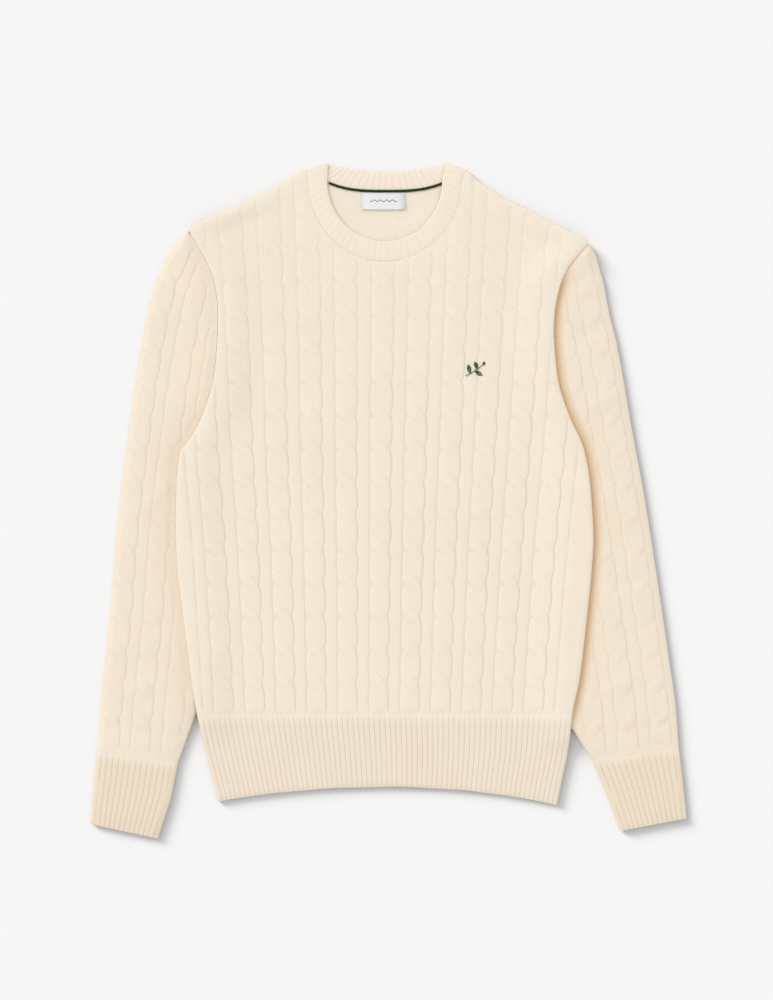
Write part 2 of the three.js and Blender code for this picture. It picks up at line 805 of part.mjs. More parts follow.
// The neckband: one ring whose front half lies on the front, whose back half shows its
// inside, and which turns over at the shoulder seams
function addNeckband() {
  const skin = new Skin();
  const sections = [];
  const rib = (n) => (n % 2) * neckRibs.height;
  const frontCount = 2 * neckRibs.front;
  const backCount = 2 * neckRibs.back;
  const frontSeam = alongLine(frontSeamLine(), frontCount);
  const frontFree = alongLine(frontFreeLine(), frontCount);
  const backSeam = alongLine(backSeamLine(), backCount);
  const backEdge = alongLine(backFreeLine(), backCount);
  const turn = (seamStart, seamEnd, free, first) => {
    const steps = neckSteps.turn;
    for (let n = 1; n < steps; n += 1) {
      const angle = Math.PI * (first ? n / steps : 1 - n / steps);
      const seam = between(seamStart, seamEnd, n / steps);
      const side = (p, rise) => {
        const outerRadius = frontFace / 2 + rise / 2;
        const innerRadius = layerGap / 2 + rise / 2;
        return {
          outer: { x: p.x, y: p.y + outerRadius * Math.sin(angle), z: outerRadius * (1 + Math.cos(angle)) },
          inner: {
            x: p.x,
            y: p.y + innerRadius * Math.sin(angle),
            z: outerRadius + innerRadius * Math.cos(angle),
          },
        };
      };
      sections.push({ seam: side(seam, 0), free: side(free, freeEdgeRise) });
    }
  };
  for (let n = 0; n <= frontCount; n += 1) {
    const s = frontSeam[n];
    const f = frontFree[n];
    sections.push({
      seam: { outer: { ...s, z: frontFace + rib(n) }, inner: { ...s, z: frontInside } },
      free: {
        outer: { ...f, z: frontFace + freeEdgeRise + rib(n) },
        inner: { ...f, z: frontInside + freeEdgeRise },
      },
    });
  }
  turn(frontSeam.at(-1), backSeam[0], frontFree.at(-1), true);
  for (let n = 0; n <= backCount; n += 1) {
    const s = backSeam[n];
    const f = backEdge[n];
    sections.push({
      seam: { outer: { ...s, z: 0 }, inner: { ...s, z: wallThickness + rib(n) * neckRibs.insideShare } },
      free: { outer: { ...f, z: 0 }, inner: { ...f, z: wallThickness + rib(n) * neckRibs.insideShare } },
    });
  }
  turn(backSeam.at(-1), frontSeam[0], frontFree[0], false);
  const rings = sections.map(({ seam, free }) => {
    const corners = [seam.outer, free.outer, free.inner, seam.inner];
    const ring = corners.map((p, n) => skin.point(p.x, p.y, p.z, n));
    return [...ring, { ...ring[0], along: 4 }];
  });
  rings.forEach((ring, n) => skin.sew(ring, rings[(n + 1) % rings.length]));
  skin.addTo(garment, 'neckband', ribMaterial);
}

// A thin strip with a square section through rows of four corners
function strip(name, look, sections) {
  const skin = new Skin();
  const rings = sections.map((corners) => {
    const ring = corners.map((p, n) => skin.point(p.x, p.y, p.z, n));
    return [...ring, { ...ring[0], along: 4 }];
  });
  const cap = (ring, turned) => {
    skin.triangle(ring[0], ring[1], ring[2], turned);
    skin.triangle(ring[0], ring[2], ring[3], turned);
  };
  rings.slice(1).forEach((ring, n) => skin.sew(rings[n], ring));
  cap(rings[0], true);
  cap(rings.at(-1), false);
  skin.addTo(garment, name, look);
}

function addTape() {
  const sections = [];
  for (let n = 0; n <= tape.steps; n += 1) {
    const x = mix(tape.left, tape.right, n / tape.steps);
    const y = backNeck.y + backNeck.rise * (x - backNeck.x) ** 2;
    const low = y - tape.width / 2;
    const high = y + tape.width / 2;
    const top = tape.bottom + tape.thickness;
    sections.push([
      { x, y: low, z: tape.bottom },
      { x, y: low, z: top },
      { x, y: high, z: top },
      { x, y: high, z: tape.bottom },
    ]);
  }
  strip('neck_tape', tapeMaterial, sections);
}

// The label hangs under the tape and its lower edge stands a little off the back
function addLabel() {
  const sections = [];
  for (let n = 0; n <= label.steps; n += 1) {
    const share = n / label.steps;
    const y = mix(label.top, label.bottom, share);
    const z = label.rest + label.rise * Math.max(0, share - label.bendFrom) ** 2;
    const top = z + label.thickness;
    sections.push([
      { x: label.left, y, z },
      { x: label.left, y, z: top },
      { x: label.right, y, z: top },
      { x: label.right, y, z },
    ]);
  }
  strip('neck_label', labelMaterial, sections);
}

bodyPanel('front', bodyRows(), frontNeck, front);
bodyPanel('back', bodyRows(), backNeckLine, back);
hemPanel('hem_front', hemRibs.count, frontHem);
hemPanel('hem_back', 0, backHem);
for (const side of ['left', 'right']) {
  addSleeve(side);
  addCuff(side);
}
addNeckband();
addTape();
addLabel();

export default garment;
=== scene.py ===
# Cable knit crew neck sweater, laid flat with its face up and the sleeves folded down beside
# the body. Sizes in the dictionaries are millimetres in the frame of the CAD model: +Y from
# the hem to the neck, +X to the wearer's left, +Z up from the surface it lies on.
import math

import bpy
import numpy as np
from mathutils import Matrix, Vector


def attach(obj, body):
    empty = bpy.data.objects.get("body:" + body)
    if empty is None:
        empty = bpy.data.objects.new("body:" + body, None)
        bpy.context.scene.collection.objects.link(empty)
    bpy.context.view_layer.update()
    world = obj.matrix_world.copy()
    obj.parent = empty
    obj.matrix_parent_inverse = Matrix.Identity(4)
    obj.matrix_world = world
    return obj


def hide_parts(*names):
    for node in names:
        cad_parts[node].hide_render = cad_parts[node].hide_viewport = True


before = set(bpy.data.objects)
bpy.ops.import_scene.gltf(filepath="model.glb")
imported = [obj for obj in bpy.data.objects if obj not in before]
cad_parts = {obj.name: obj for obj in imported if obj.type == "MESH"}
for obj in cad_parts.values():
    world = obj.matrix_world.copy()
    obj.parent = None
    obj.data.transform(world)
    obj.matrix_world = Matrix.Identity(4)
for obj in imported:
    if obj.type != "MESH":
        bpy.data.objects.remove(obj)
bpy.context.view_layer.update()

mm = 0.001
print("sweater: frame loaded,", len(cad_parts), "nodes")

cloth = {
    "wall": 2.6,
    "frontInside": 3.4,
    "frontFace": 6.0,
    "seamGap": 0.3,
    "seam": 0.06,  # gap that shows between two sewn edges
    "seamHeight": 0.5,
    "rings": [0.0, 0.12, 0.7, 1.8, 3.4],  # rows of points that round off an edge, inward from it
    "sharp": 0.12,  # a row this close to a sewn edge keeps its corner crisp
    "edgeWidth": 5.0,
    "edgeDip": 2.0,
    "row": 2.4,
    "stitchWidth": 3.7,
    "stitchRow": 3.0,
}

# Rope cables: at every crossing the strand from the upper left passes over the other one.
# Shares are of one repeat, which is a cable and the plain stripe beside it.
cable = {
    "spacing": 35.5,
    "firstCrossing": -194.0,
    "rise": 1.4,
    "over": 0.85,
    "fill": (0.94, 0.35),  # height between the strands, away from a crossing and at it
    "offset": 0.155,
    "radius": 0.165,
    "swell": 0.45,
    "edge": 0.32,
    "pullIn": {"left": 0.02, "right": 0.055},  # how far each edge is drawn in at a crossing
    "crossing": 0.66,
    "groove": -0.35,
    "grooveShade": 0.18,
    "crossShade": 0.2,
    "stripe": 0.6,
    "outermost": 5,
    "pressed": 0.62,  # share of the relief that is left at the shoulders
    "samples": [0, 0.055, 0.11, 0.165, 0.22, 0.265, 0.3, 0.32, 0.345, 0.385, 0.44, 0.5],
}

body = {
    "hemLine": -226.0,
    "shoulderTop": 349.5,
    "sideLift": 6.3,
    "ramp": 42.0,
    "rampStart": 2.5,
    "outline": {
        "y": [352, 340, 330, 318, 308, 298, 285, 273, 260, 245, 225, 200, 178, 155, 130, 105,
              82, 63, 50, 25, -5, -40, -75, -105, -152, -190, -226, -265, -300, -326],
        "left": [-86.0, -108.2, -125.4, -148.6, -168.7, -193.3, -210.5, -204.3, -196.9, -189.6,
                 -183.4, -180.5, -180.6, -182.2, -185.2, -191.7, -200.8, -211.8, -221.1, -224.0,
                 -225.0, -225.0, -223.3, -219.9, -213.7, -208.9, -202.8, -194.7, -185.8, -179.0],
        "right": [82.0, 93.0, 108.9, 128.5, 149.0, 165.9, 191.4, 210.5, 201.5, 189.9, 181.2,
                  176.3, 175.0, 176.4, 179.1, 185.7, 194.7, 203.8, 208.0, 212.5, 215.3, 217.0,
                  215.0, 212.1, 207.0, 202.2, 194.8, 190.5, 183.4, 178.2],
    },
    "layout": {
        "y": [350, 180, 60, -60, -226],
        "centre": [-5.0, -6.4, -8.0, -9.0, -10.5],
        "repeat": [41.5, 38.4, 36.8, 34.8, 32.7],
    },
    "lift": {
        "y": [340, 321, 303, 286, 274, -224, -247, -268, -290],
        "left": [0, 0.3, 0.65, 1, 1, 1, 0.45, 0, 0],
        "right": [0, 0.15, 0.4, 0.75, 1, 1, 1, 0.12, 0],
    },
    "tuck": {
        "y": [285, 90, 40, -60, -150, -195, -225, -245],
        "left": [8, 8, 13, 16, 14, 9, 0, 0],
        "right": [8, 8, 13, 16, 15, 12, 6, 0],
    },
    "joined": {
        "y": [268, 246, 232, 120, 70, -245],
        "left": [1, 1, 1, 1, 0, 0],
        "right": [1, 0.6, 0, 0, 0, 0],
    },
}

neck = {
    "centre": (-4.0, 339.0),
    "seam": {"halfWidth": 81.5, "depth": 85.5, "leftTop": -85.5, "rightTop": 82.0},
    "free": {"halfWidth": 60.9, "depth": 64.7, "leftTop": -64.0, "rightTop": 61.0},
    "backSeam": {"x": -2.5, "y": 327.5, "rise": 3.95e-5, "power": 3},
    "backFree": {"x": -1.5, "y": 348.5, "halfWidth": 62.5, "power": 1.65},
    "fold": {"seam": 349.5, "left": 354.8, "right": 355.5},
}


# Small helpers for numbers and tables
def smooth(value, low, high):
    share = np.clip((value - low) / (high - low), 0, 1)
    return share * share * (3 - 2 * share)


def mix(a, b, share):
    return a + (b - a) * share


# A smooth curve through one column of a table, with no overshoot between its rows
def through(table, column):
    order = np.argsort(table["y"])
    ys = np.array(table["y"], float)[order]
    values = np.array(table[column], float)[order]
    steps = np.diff(ys)
    slopes = np.diff(values) / steps
    tangents = np.zeros(len(ys))
    tangents[0], tangents[-1] = slopes[0], slopes[-1]
    same = slopes[:-1] * slopes[1:] > 0
    harmonic = 2 * slopes[:-1] * slopes[1:] / np.where(same, slopes[:-1] + slopes[1:], 1)
    tangents[1:-1] = np.where(same, harmonic, 0)

    def at(y):
        y = np.clip(y, ys[0], ys[-1])
        k = np.clip(np.searchsorted(ys, y) - 1, 0, len(ys) - 2)
        t = (y - ys[k]) / steps[k]
        start = (1 + 2 * t) * (1 - t) ** 2 * values[k] + t * (1 - t) ** 2 * steps[k] * tangents[k]
        return start + t * t * (3 - 2 * t) * values[k + 1] + t * t * (t - 1) * steps[k] * tangents[k + 1]

    return at


bodyLeft = through(body["outline"], "left")
bodyRight = through(body["outline"], "right")
cableCentre = through(body["layout"], "centre")
cableRepeat = through(body["layout"], "repeat")
liftAt = {side: through(body["lift"], side) for side in ("left", "right")}
tuckAt = {side: through(body["tuck"], side) for side in ("left", "right")}
joinedAt = {side: through(body["joined"], side) for side in ("left", "right")}


# A skin of knitted rows that are sewn together into one closed shell of cloth
class Skin:
    def __init__(self):
        self.points = []
        self.shades = []
        self.faces = []

    # Adds points and gives them back as (number, place along the row)
    def row(self, x, y, z, shade, along):
        x, y, z, shade, along = np.broadcast_arrays(x, y, z, shade, along)
        first = len(self.points)
        self.points.extend(zip(x.tolist(), y.tolist(), z.tolist()))
        self.shades.extend(shade.tolist())
        return list(zip(range(first, len(self.points)), along.tolist()))

    # Fills the strip between two rows that run the same way
    def sew(self, low, high, turned=False):
        i = j = 0
        lastLow, lastHigh = len(low) - 1, len(high) - 1
        while i < lastLow or j < lastHigh:
            stepLow = low[i + 1][1] if i < lastLow else math.inf
            stepHigh = high[j + 1][1] if j < lastHigh else math.inf
            if abs(stepLow - stepHigh) < 1e-6:
                corners = (low[i][0], low[i + 1][0], high[j + 1][0], high[j][0])
                i, j = i + 1, j + 1
            elif stepLow < stepHigh:
                corners = (low[i][0], low[i + 1][0], high[j][0])
                i += 1
            else:
                corners = (low[i][0], high[j + 1][0], high[j][0])
                j += 1
            self.faces.append(corners[::-1] if turned else corners)

    def sewEdge(self, low, high, turned=False):
        self.sew([(n, k) for k, (n, _) in enumerate(low)], [(n, k) for k, (n, _) in enumerate(high)], turned)


# Makes the skin an object. stitchPlace gives each face corner its place in the knitting, as
# columns and rows of stitches, from the corners' points and the middles of their faces.
def makeCloth(name, skin, material, stitchPlace, node):
    mesh = bpy.data.meshes.new(name)
    points = np.array(skin.points)
    mesh.from_pydata((points * mm).tolist(), [], skin.faces)
    mesh.validate()
    piece = bpy.data.objects.new(name, mesh)
    bpy.context.scene.collection.objects.link(piece)
    count = len(mesh.loops)
    corners = np.empty(count, int)
    mesh.loops.foreach_get("vertex_index", corners)
    sizes = np.empty(len(mesh.polygons), int)
    mesh.polygons.foreach_get("loop_total", sizes)
    middles = np.empty(3 * len(mesh.polygons))
    mesh.polygons.foreach_get("center", middles)
    middles = np.repeat(middles.reshape(-1, 3) / mm, sizes, axis=0)
    columns, rows = stitchPlace(points[corners], middles)
    knitting = mesh.uv_layers.new(name="stitches")
    knitting.data.foreach_set("uv", np.stack([columns, rows], axis=1).ravel())
    # Per-point painted shade, which the wool materials mix toward their shade colour
    paintedShade = mesh.attributes.new("paintedShade", "FLOAT", "POINT")
    paintedShade.data.foreach_set("value", np.clip(skin.shades, 0, 1))
    if signedVolume(mesh) < 0:
        mesh.flip_normals()
    mesh.polygons.foreach_set("use_smooth", [True] * len(mesh.polygons))
    mesh.materials.append(material)
    mesh.update()
    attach(piece, "root")
    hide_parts(node)
    triangles = sum(len(face) - 2 for face in skin.faces)
    print("sweater:", name, triangles, "triangles")
    return piece


def signedVolume(mesh):
    mesh.calc_loop_triangles()
    places = np.empty(3 * len(mesh.vertices))
    mesh.vertices.foreach_get("co", places)
    places = places.reshape(-1, 3)
    triangles = np.empty(3 * len(mesh.loop_triangles), int)
    mesh.loop_triangles.foreach_get("vertices", triangles)
    a, b, c = (places[triangles.reshape(-1, 3)[:, k]] for k in range(3))
    return float(np.einsum("ij,ij->i", a, np.cross(b, c)).sum())


# Knitting: strands, grooves and stripes
# Place of the strand that passes over, in repeats from the middle of its cable
def overPlace(phase):
    half = cable["crossing"] / 2
    return mix(-cable["offset"], cable["offset"], smooth(-phase, -half, half))


# 1 in the middle of a crossing, 0 where the strands run side by side
def crossingShare(phase):
    return 1 - (overPlace(phase) / cable["offset"]) ** 2


# Half width of the cable on the side that a place is on
def cableEdge(phase, nearest):
    pull = np.where(nearest > 0, cable["pullIn"]["right"], cable["pullIn"]["left"])
    return cable["edge"] - pull * crossingShare(phase)


def crossingPlace(y):
    return (y - cable["firstCrossing"]) / cable["spacing"]


# 1 at the bottom of a groove, 0 on a strand or a stripe
def grooveDepth(height):
    return 1 - smooth(height, cable["groove"], cable["groove"] + 0.7)


# Heights of both strands, of the ground beside them, and the shade painted at the place: in grooves and along a
# crossing's crease
def rope(across, up):
    nearest = across - np.round(across)
    phase = up - np.round(up)
    place = overPlace(phase)
    near = crossingShare(phase)
    width = cable["radius"] * (1 + cable["swell"] * np.sin(math.pi / 2 * near))

    def strand(middle, height):
        share = np.abs((nearest - middle) / width)
        return height * np.sqrt(np.clip(1 - share ** 2.2, 0, 1))

    over = strand(place, cable["rise"] + cable["over"] * near)
    under = strand(-place, cable["rise"] - cable["over"] * near)
    edge = cableEdge(phase, nearest)
    share = np.clip(np.abs(nearest) / edge, 0, 1)
    dome = cable["rise"] * np.sqrt(1 - share ** 2.8)
    limit = (cable["rise"] + cable["over"]) * 1.04 * np.sqrt(1 - share ** 2.6)
    fill = dome * mix(cable["fill"][0], cable["fill"][1], smooth(near, 0.05, 0.75))
    rope = np.minimum(np.maximum(np.maximum(over, under), fill), limit)
    beside = np.clip((np.abs(nearest) - edge) / (0.5 - edge), 0, 1)
    stripe = (cable["stripe"] - cable["groove"]) * (1 - (1 - beside) ** 3.5)
    height = cable["groove"] + np.where(np.abs(nearest) < edge, rope, stripe)
    # Painted shade along the crease where the strands meet at a crossing, and in the grooves
    crease = np.exp(-(((over - under) / 0.45) ** 2)) * smooth(np.minimum(over, under), 0.1, 0.4)
    groove = cable["grooveShade"] * grooveDepth(height)
    return height, over >= under, np.maximum(groove, cable["crossShade"] * crease * smooth(near, 0.1, 0.6))


# Columns across one repeat that follow the strands' edges at this height
def cableColumns(y, lowest, highest):
    phase = np.array(crossingPlace(y) - round(crossingPlace(y)))
    samples = np.array(cable["samples"])
    nominal = cable["edge"]
    moved = []
    for sign in (-1, 1):
        edge = float(cableEdge(phase, sign))
        outside = mix(edge, 0.5, (samples - nominal) / (0.5 - nominal))
        moved.append(sign * np.where(samples <= nominal, samples * edge / nominal, outside))
    half = np.concatenate([moved[0][:0:-1], moved[1]])[1:]
    names = np.concatenate([-samples[:0:-1], samples])[1:]
    repeats = range(math.floor(lowest), math.ceil(highest) + 1)
    across = np.concatenate([half + n for n in repeats])
    along = np.concatenate([names + n for n in repeats])
    return across, along


# Stitches run along each strand where they belong to a cable, and upwards elsewhere
def ropeStitches(across, up, middleAcross, middleUp, repeat, y):
    nearest = middleAcross - np.round(middleAcross)
    turn = np.round(middleUp)
    phase = middleUp - turn
    _, isOver, _ = rope(middleAcross, middleUp)
    inCable = np.abs(nearest) < cableEdge(phase, nearest)
    side = np.where(isOver, 1.0, -1.0)
    cornerPhase = np.clip(up - turn, -0.5, 0.5)
    place = side * overPlace(cornerPhase)
    slope = side * (overPlace(cornerPhase + 0.01) - overPlace(cornerPhase - 0.01)) / 0.02
    slope = slope * repeat / cable["spacing"]
    offset = (across - np.round(middleAcross) - place) * repeat
    lean = np.sqrt(1 + slope * slope)
    strandColumn = offset / lean / cloth["stitchWidth"]
    strandRow = (y + 0.7 * slope * offset) / cloth["stitchRow"]
    groundColumn = (across - np.floor(middleAcross) - 0.5) * repeat / cloth["stitchWidth"]
    columns = np.where(inCable, strandColumn, groundColumn)
    rows = np.where(inCable, strandRow, y / cloth["stitchRow"])
    return columns + 0.5, rows


# Listed creases: soft troughs (below 0) and ridges from one place to another
def creased(x, y, creases):
    total = np.zeros(np.broadcast(x, y).shape)
    for crease in creases:
        (x0, y0), (x1, y1) = crease["from"], crease["to"]
        length = math.hypot(x1 - x0, y1 - y0)
        along = ((x - x0) * (x1 - x0) + (y - y0) * (y1 - y0)) / length ** 2
        bow = crease.get("bow", 0) * 4 * along * (1 - along)
        aside = ((x - x0) * (y1 - y0) - (y - y0) * (x1 - x0)) / length - bow
        ends = smooth(along, -0.15, 0.3) * (1 - smooth(along, 0.7, 1.15))
        total = total + crease["height"] * ends * np.exp(-((aside / crease["width"]) ** 2))
    return total


# Height of the body above the surface at its sides, where the sleeves lie under it
def bodyLift(x, y):
    fromLeft = x - bodyLeft(y)
    fromRight = bodyRight(y) - x
    isLeft = fromLeft < fromRight
    start = np.where(isLeft, tuckAt["left"](y), tuckAt["right"](y)) + body["rampStart"]
    share = np.where(isLeft, liftAt["left"](y), liftAt["right"](y))
    inward = np.minimum(fromLeft, fromRight)
    return body["sideLift"] * share * (1 - smooth(inward, start, start + body["ramp"]))


# How far an edge is rolled down at a distance inward from it, as a share
def edgeRoll(inward):
    share = np.clip(inward / cloth["edgeWidth"], 0, 1)
    return 1 - np.sqrt(1 - (1 - share) ** 2)


def frontNeckX(y, side):
    middle, top = neck["centre"]
    seam = neck["seam"]
    foot = middle + side * seam["halfWidth"]
    if y >= top:
        share = min(1, (y - top) / (body["shoulderTop"] - top))
        return mix(foot, seam["leftTop"] if side < 0 else seam["rightTop"], share)
    drop = (top - y) / seam["depth"]
    return middle + side * seam["halfWidth"] * math.sqrt(1 - drop * drop)


def frontNeckCurve(y):
    middle, top = neck["centre"]
    seam = neck["seam"]
    half = math.acos((top - y) / seam["depth"])
    angle = np.linspace(-half, half, 16)[1:-1]
    return middle + seam["halfWidth"] * np.sin(angle), top - seam["depth"] * np.cos(angle)


def backNeckX(y, side):
    line = neck["backSeam"]
    return line["x"] + side * (max(0, y - line["y"]) / line["rise"]) ** (1 / line["power"])


def backNeckY(x):
    line = neck["backSeam"]
    return line["y"] + line["rise"] * np.abs(x - line["x"]) ** line["power"]


def backNeckCurve(y):
    x = np.linspace(backNeckX(y, -1), backNeckX(y, 1), 20)[1:-1]
    return x, backNeckY(x)


def slopeOf(line, y):
    return (line(y + 0.5) - line(y - 0.5)) / 1.0


# One row of one side of a panel between two ends. An end is its x and the edge's slope.
def panelRow(skin, y, start, end, side):
    stretchStart = min(4.0, math.hypot(1, start[1]))
    stretchEnd = min(4.0, math.hypot(1, end[1]))
    rings = np.array(side["rings"])
    across, along = side["columns"](y)
    clear = rings[-1] + 1.0
    kept = (across > start[0] + clear * stretchStart) & (across < end[0] - clear * stretchEnd)
    width = end[0] - start[0]
    squeeze = min(1, width / (2.2 * clear * max(stretchStart, stretchEnd)))
    left = start[0] + rings * stretchStart * squeeze
    right = (end[0] - rings * stretchEnd * squeeze)[::-1]
    x = np.concatenate([left, across[kept], right])
    places = np.concatenate([side["along"](left, y), along[kept], side["along"](right, y)])
    inward = np.minimum((x - start[0]) / stretchStart, (end[0] - x) / stretchEnd)
    z, shade = side["height"](x, np.full(len(x), y), inward)
    return skin.row(x, y, z, shade, np.maximum.accumulate(places))


def sewWall(skin, low, high):
    skin.sew(low["upper"], high["upper"])
    skin.sew(low["lower"], high["lower"], True)
    skin.sewEdge([low["lower"][0], low["upper"][0]], [high["lower"][0], high["upper"][0]])
    skin.sewEdge([low["upper"][-1], low["lower"][-1]], [high["upper"][-1], high["lower"][-1]])


# Closes a panel along its first or last row, by each point's share of the row's width
def capRow(skin, row, turned):
    def shared(points):
        xs = [skin.points[n][0] for n, _ in points]
        return [(n, (x - xs[0]) / max(1e-6, xs[-1] - xs[0])) for (n, _), x in zip(points, xs)]

    skin.sew(shared(row["lower"]), shared(row["upper"]), turned)


# A body panel from the hem line to the shoulders with the neck cut out of its top
def bodyPanel(neckX, neckCurve, neckBottom, upperSide, lowerSide):
    skin = Skin()
    count = round((body["shoulderTop"] - body["hemLine"]) / cloth["row"])
    heights = np.linspace(body["hemLine"], body["shoulderTop"], count + 1)
    heights = np.insert(heights[np.abs(heights - neckBottom) > 0.4], 1, body["hemLine"] + cloth["sharp"])

    def make(y, fromSide, toSide):
        ends = []
        for key in (fromSide, toSide):
            if key == "left":
                line = bodyLeft
            elif key == "right":
                line = bodyRight
            else:
                line = lambda v, s=(-1 if key == "neckLeft" else 1): neckX(v, s)
            nearby = max(y, neckBottom + 0.6) if key.startswith("neck") else y
            ends.append((float(line(y)), float(slopeOf(line, nearby))))
        return {
            "upper": panelRow(skin, y, ends[0], ends[1], upperSide),
            "lower": panelRow(skin, y, ends[0], ends[1], lowerSide),
        }

    previous = make(heights[0], "left", "right")
    capRow(skin, previous, False)
    below = heights[heights < neckBottom]
    above = heights[heights > neckBottom]
    for y in below[1:]:
        row = make(y, "left", "right")
        sewWall(skin, previous, row)
        previous = row

    curveX, curveY = neckCurve(above[0])
    curve = {}
    for key, side in (("upper", upperSide), ("lower", lowerSide)):
        z, shade = side["height"](curveX, curveY, np.zeros(len(curveX)))
        curve[key] = skin.row(curveX, curveY, z, shade, side["along"](curveX, curveY))
    left = make(above[0], "left", "neckLeft")
    right = make(above[0], "neckRight", "right")
    sewWall(skin, previous, {key: left[key] + curve[key] + right[key] for key in ("upper", "lower")})
    neckLine = {key: [left[key][-1]] + curve[key] + [right[key][0]] for key in ("upper", "lower")}
    skin.sewEdge(neckLine["lower"], neckLine["upper"], True)
    for y in above[1:]:
        nextLeft = make(y, "left", "neckLeft")
        nextRight = make(y, "neckRight", "right")
        sewWall(skin, left, nextLeft)
        sewWall(skin, right, nextRight)
        left, right = nextLeft, nextRight
    capRow(skin, left, True)
    capRow(skin, right, True)
    return skin


def bodyAcross(x, y):
    return (x - cableCentre(y)) / cableRepeat(y)


def bodyColumns(y):
    centre, repeat = float(cableCentre(y)), float(cableRepeat(y))
    reach = 230 / repeat
    across, along = cableColumns(y, -reach, reach)
    return centre + across * repeat, along


# Columns at even shares of the body's width, for the plain side of a panel
def shareColumns(count):
    def columns(y):
        shares = np.linspace(0, 1, count + 1)[1:-1]
        return mix(float(bodyLeft(y)), float(bodyRight(y)), shares), shares

    return columns


def bodyShare(x, y):
    return (x - bodyLeft(y)) / (bodyRight(y) - bodyLeft(y))


# Relief of the body's knitting: cables, and plain knitting beyond the outermost ones, with the shade painted in their
# grooves and crossings
def bodyRelief(x, y):
    across = bodyAcross(x, y)
    height, _, paintedShade = rope(across, crossingPlace(y))
    lastGroove = cable["outermost"] + 1 - cable["edge"]
    beyond = np.clip((np.abs(across) - lastGroove) / 0.18, 0, 1)
    plain = cable["groove"] + (cable["stripe"] - cable["groove"]) * (1 - (1 - beyond) ** 3.5)
    isPlain = np.abs(across) > lastGroove
    groove = cable["grooveShade"] * grooveDepth(plain)
    return np.where(isPlain, plain, height), np.where(isPlain, groove, paintedShade)


def bodyStitches(corners, middles):
    x, y = corners[:, 0], corners[:, 1]
    repeat = cableRepeat(y)
    return ropeStitches(
        bodyAcross(x, y), crossingPlace(y),
        bodyAcross(middles[:, 0], middles[:, 1]), crossingPlace(middles[:, 1]),
        repeat, y,
    )


# Materials
def linear(code):
    values = [int(code[k:k + 2], 16) / 255 for k in (1, 3, 5)]
    return [v / 12.92 if v <= 0.04045 else ((v + 0.055) / 1.055) ** 2.4 for v in values] + [1.0]


# Adds a node with its settings, and sets or links its inputs
def addNode(tree, kind, inputs, **settings):
    node = tree.nodes.new(kind)
    for key, value in settings.items():
        setattr(node, key, value)
    for socket, value in inputs.items():
        if isinstance(value, bpy.types.NodeSocket):
            tree.links.new(value, node.inputs[socket])
        else:
            node.inputs[socket].default_value = value
    return node
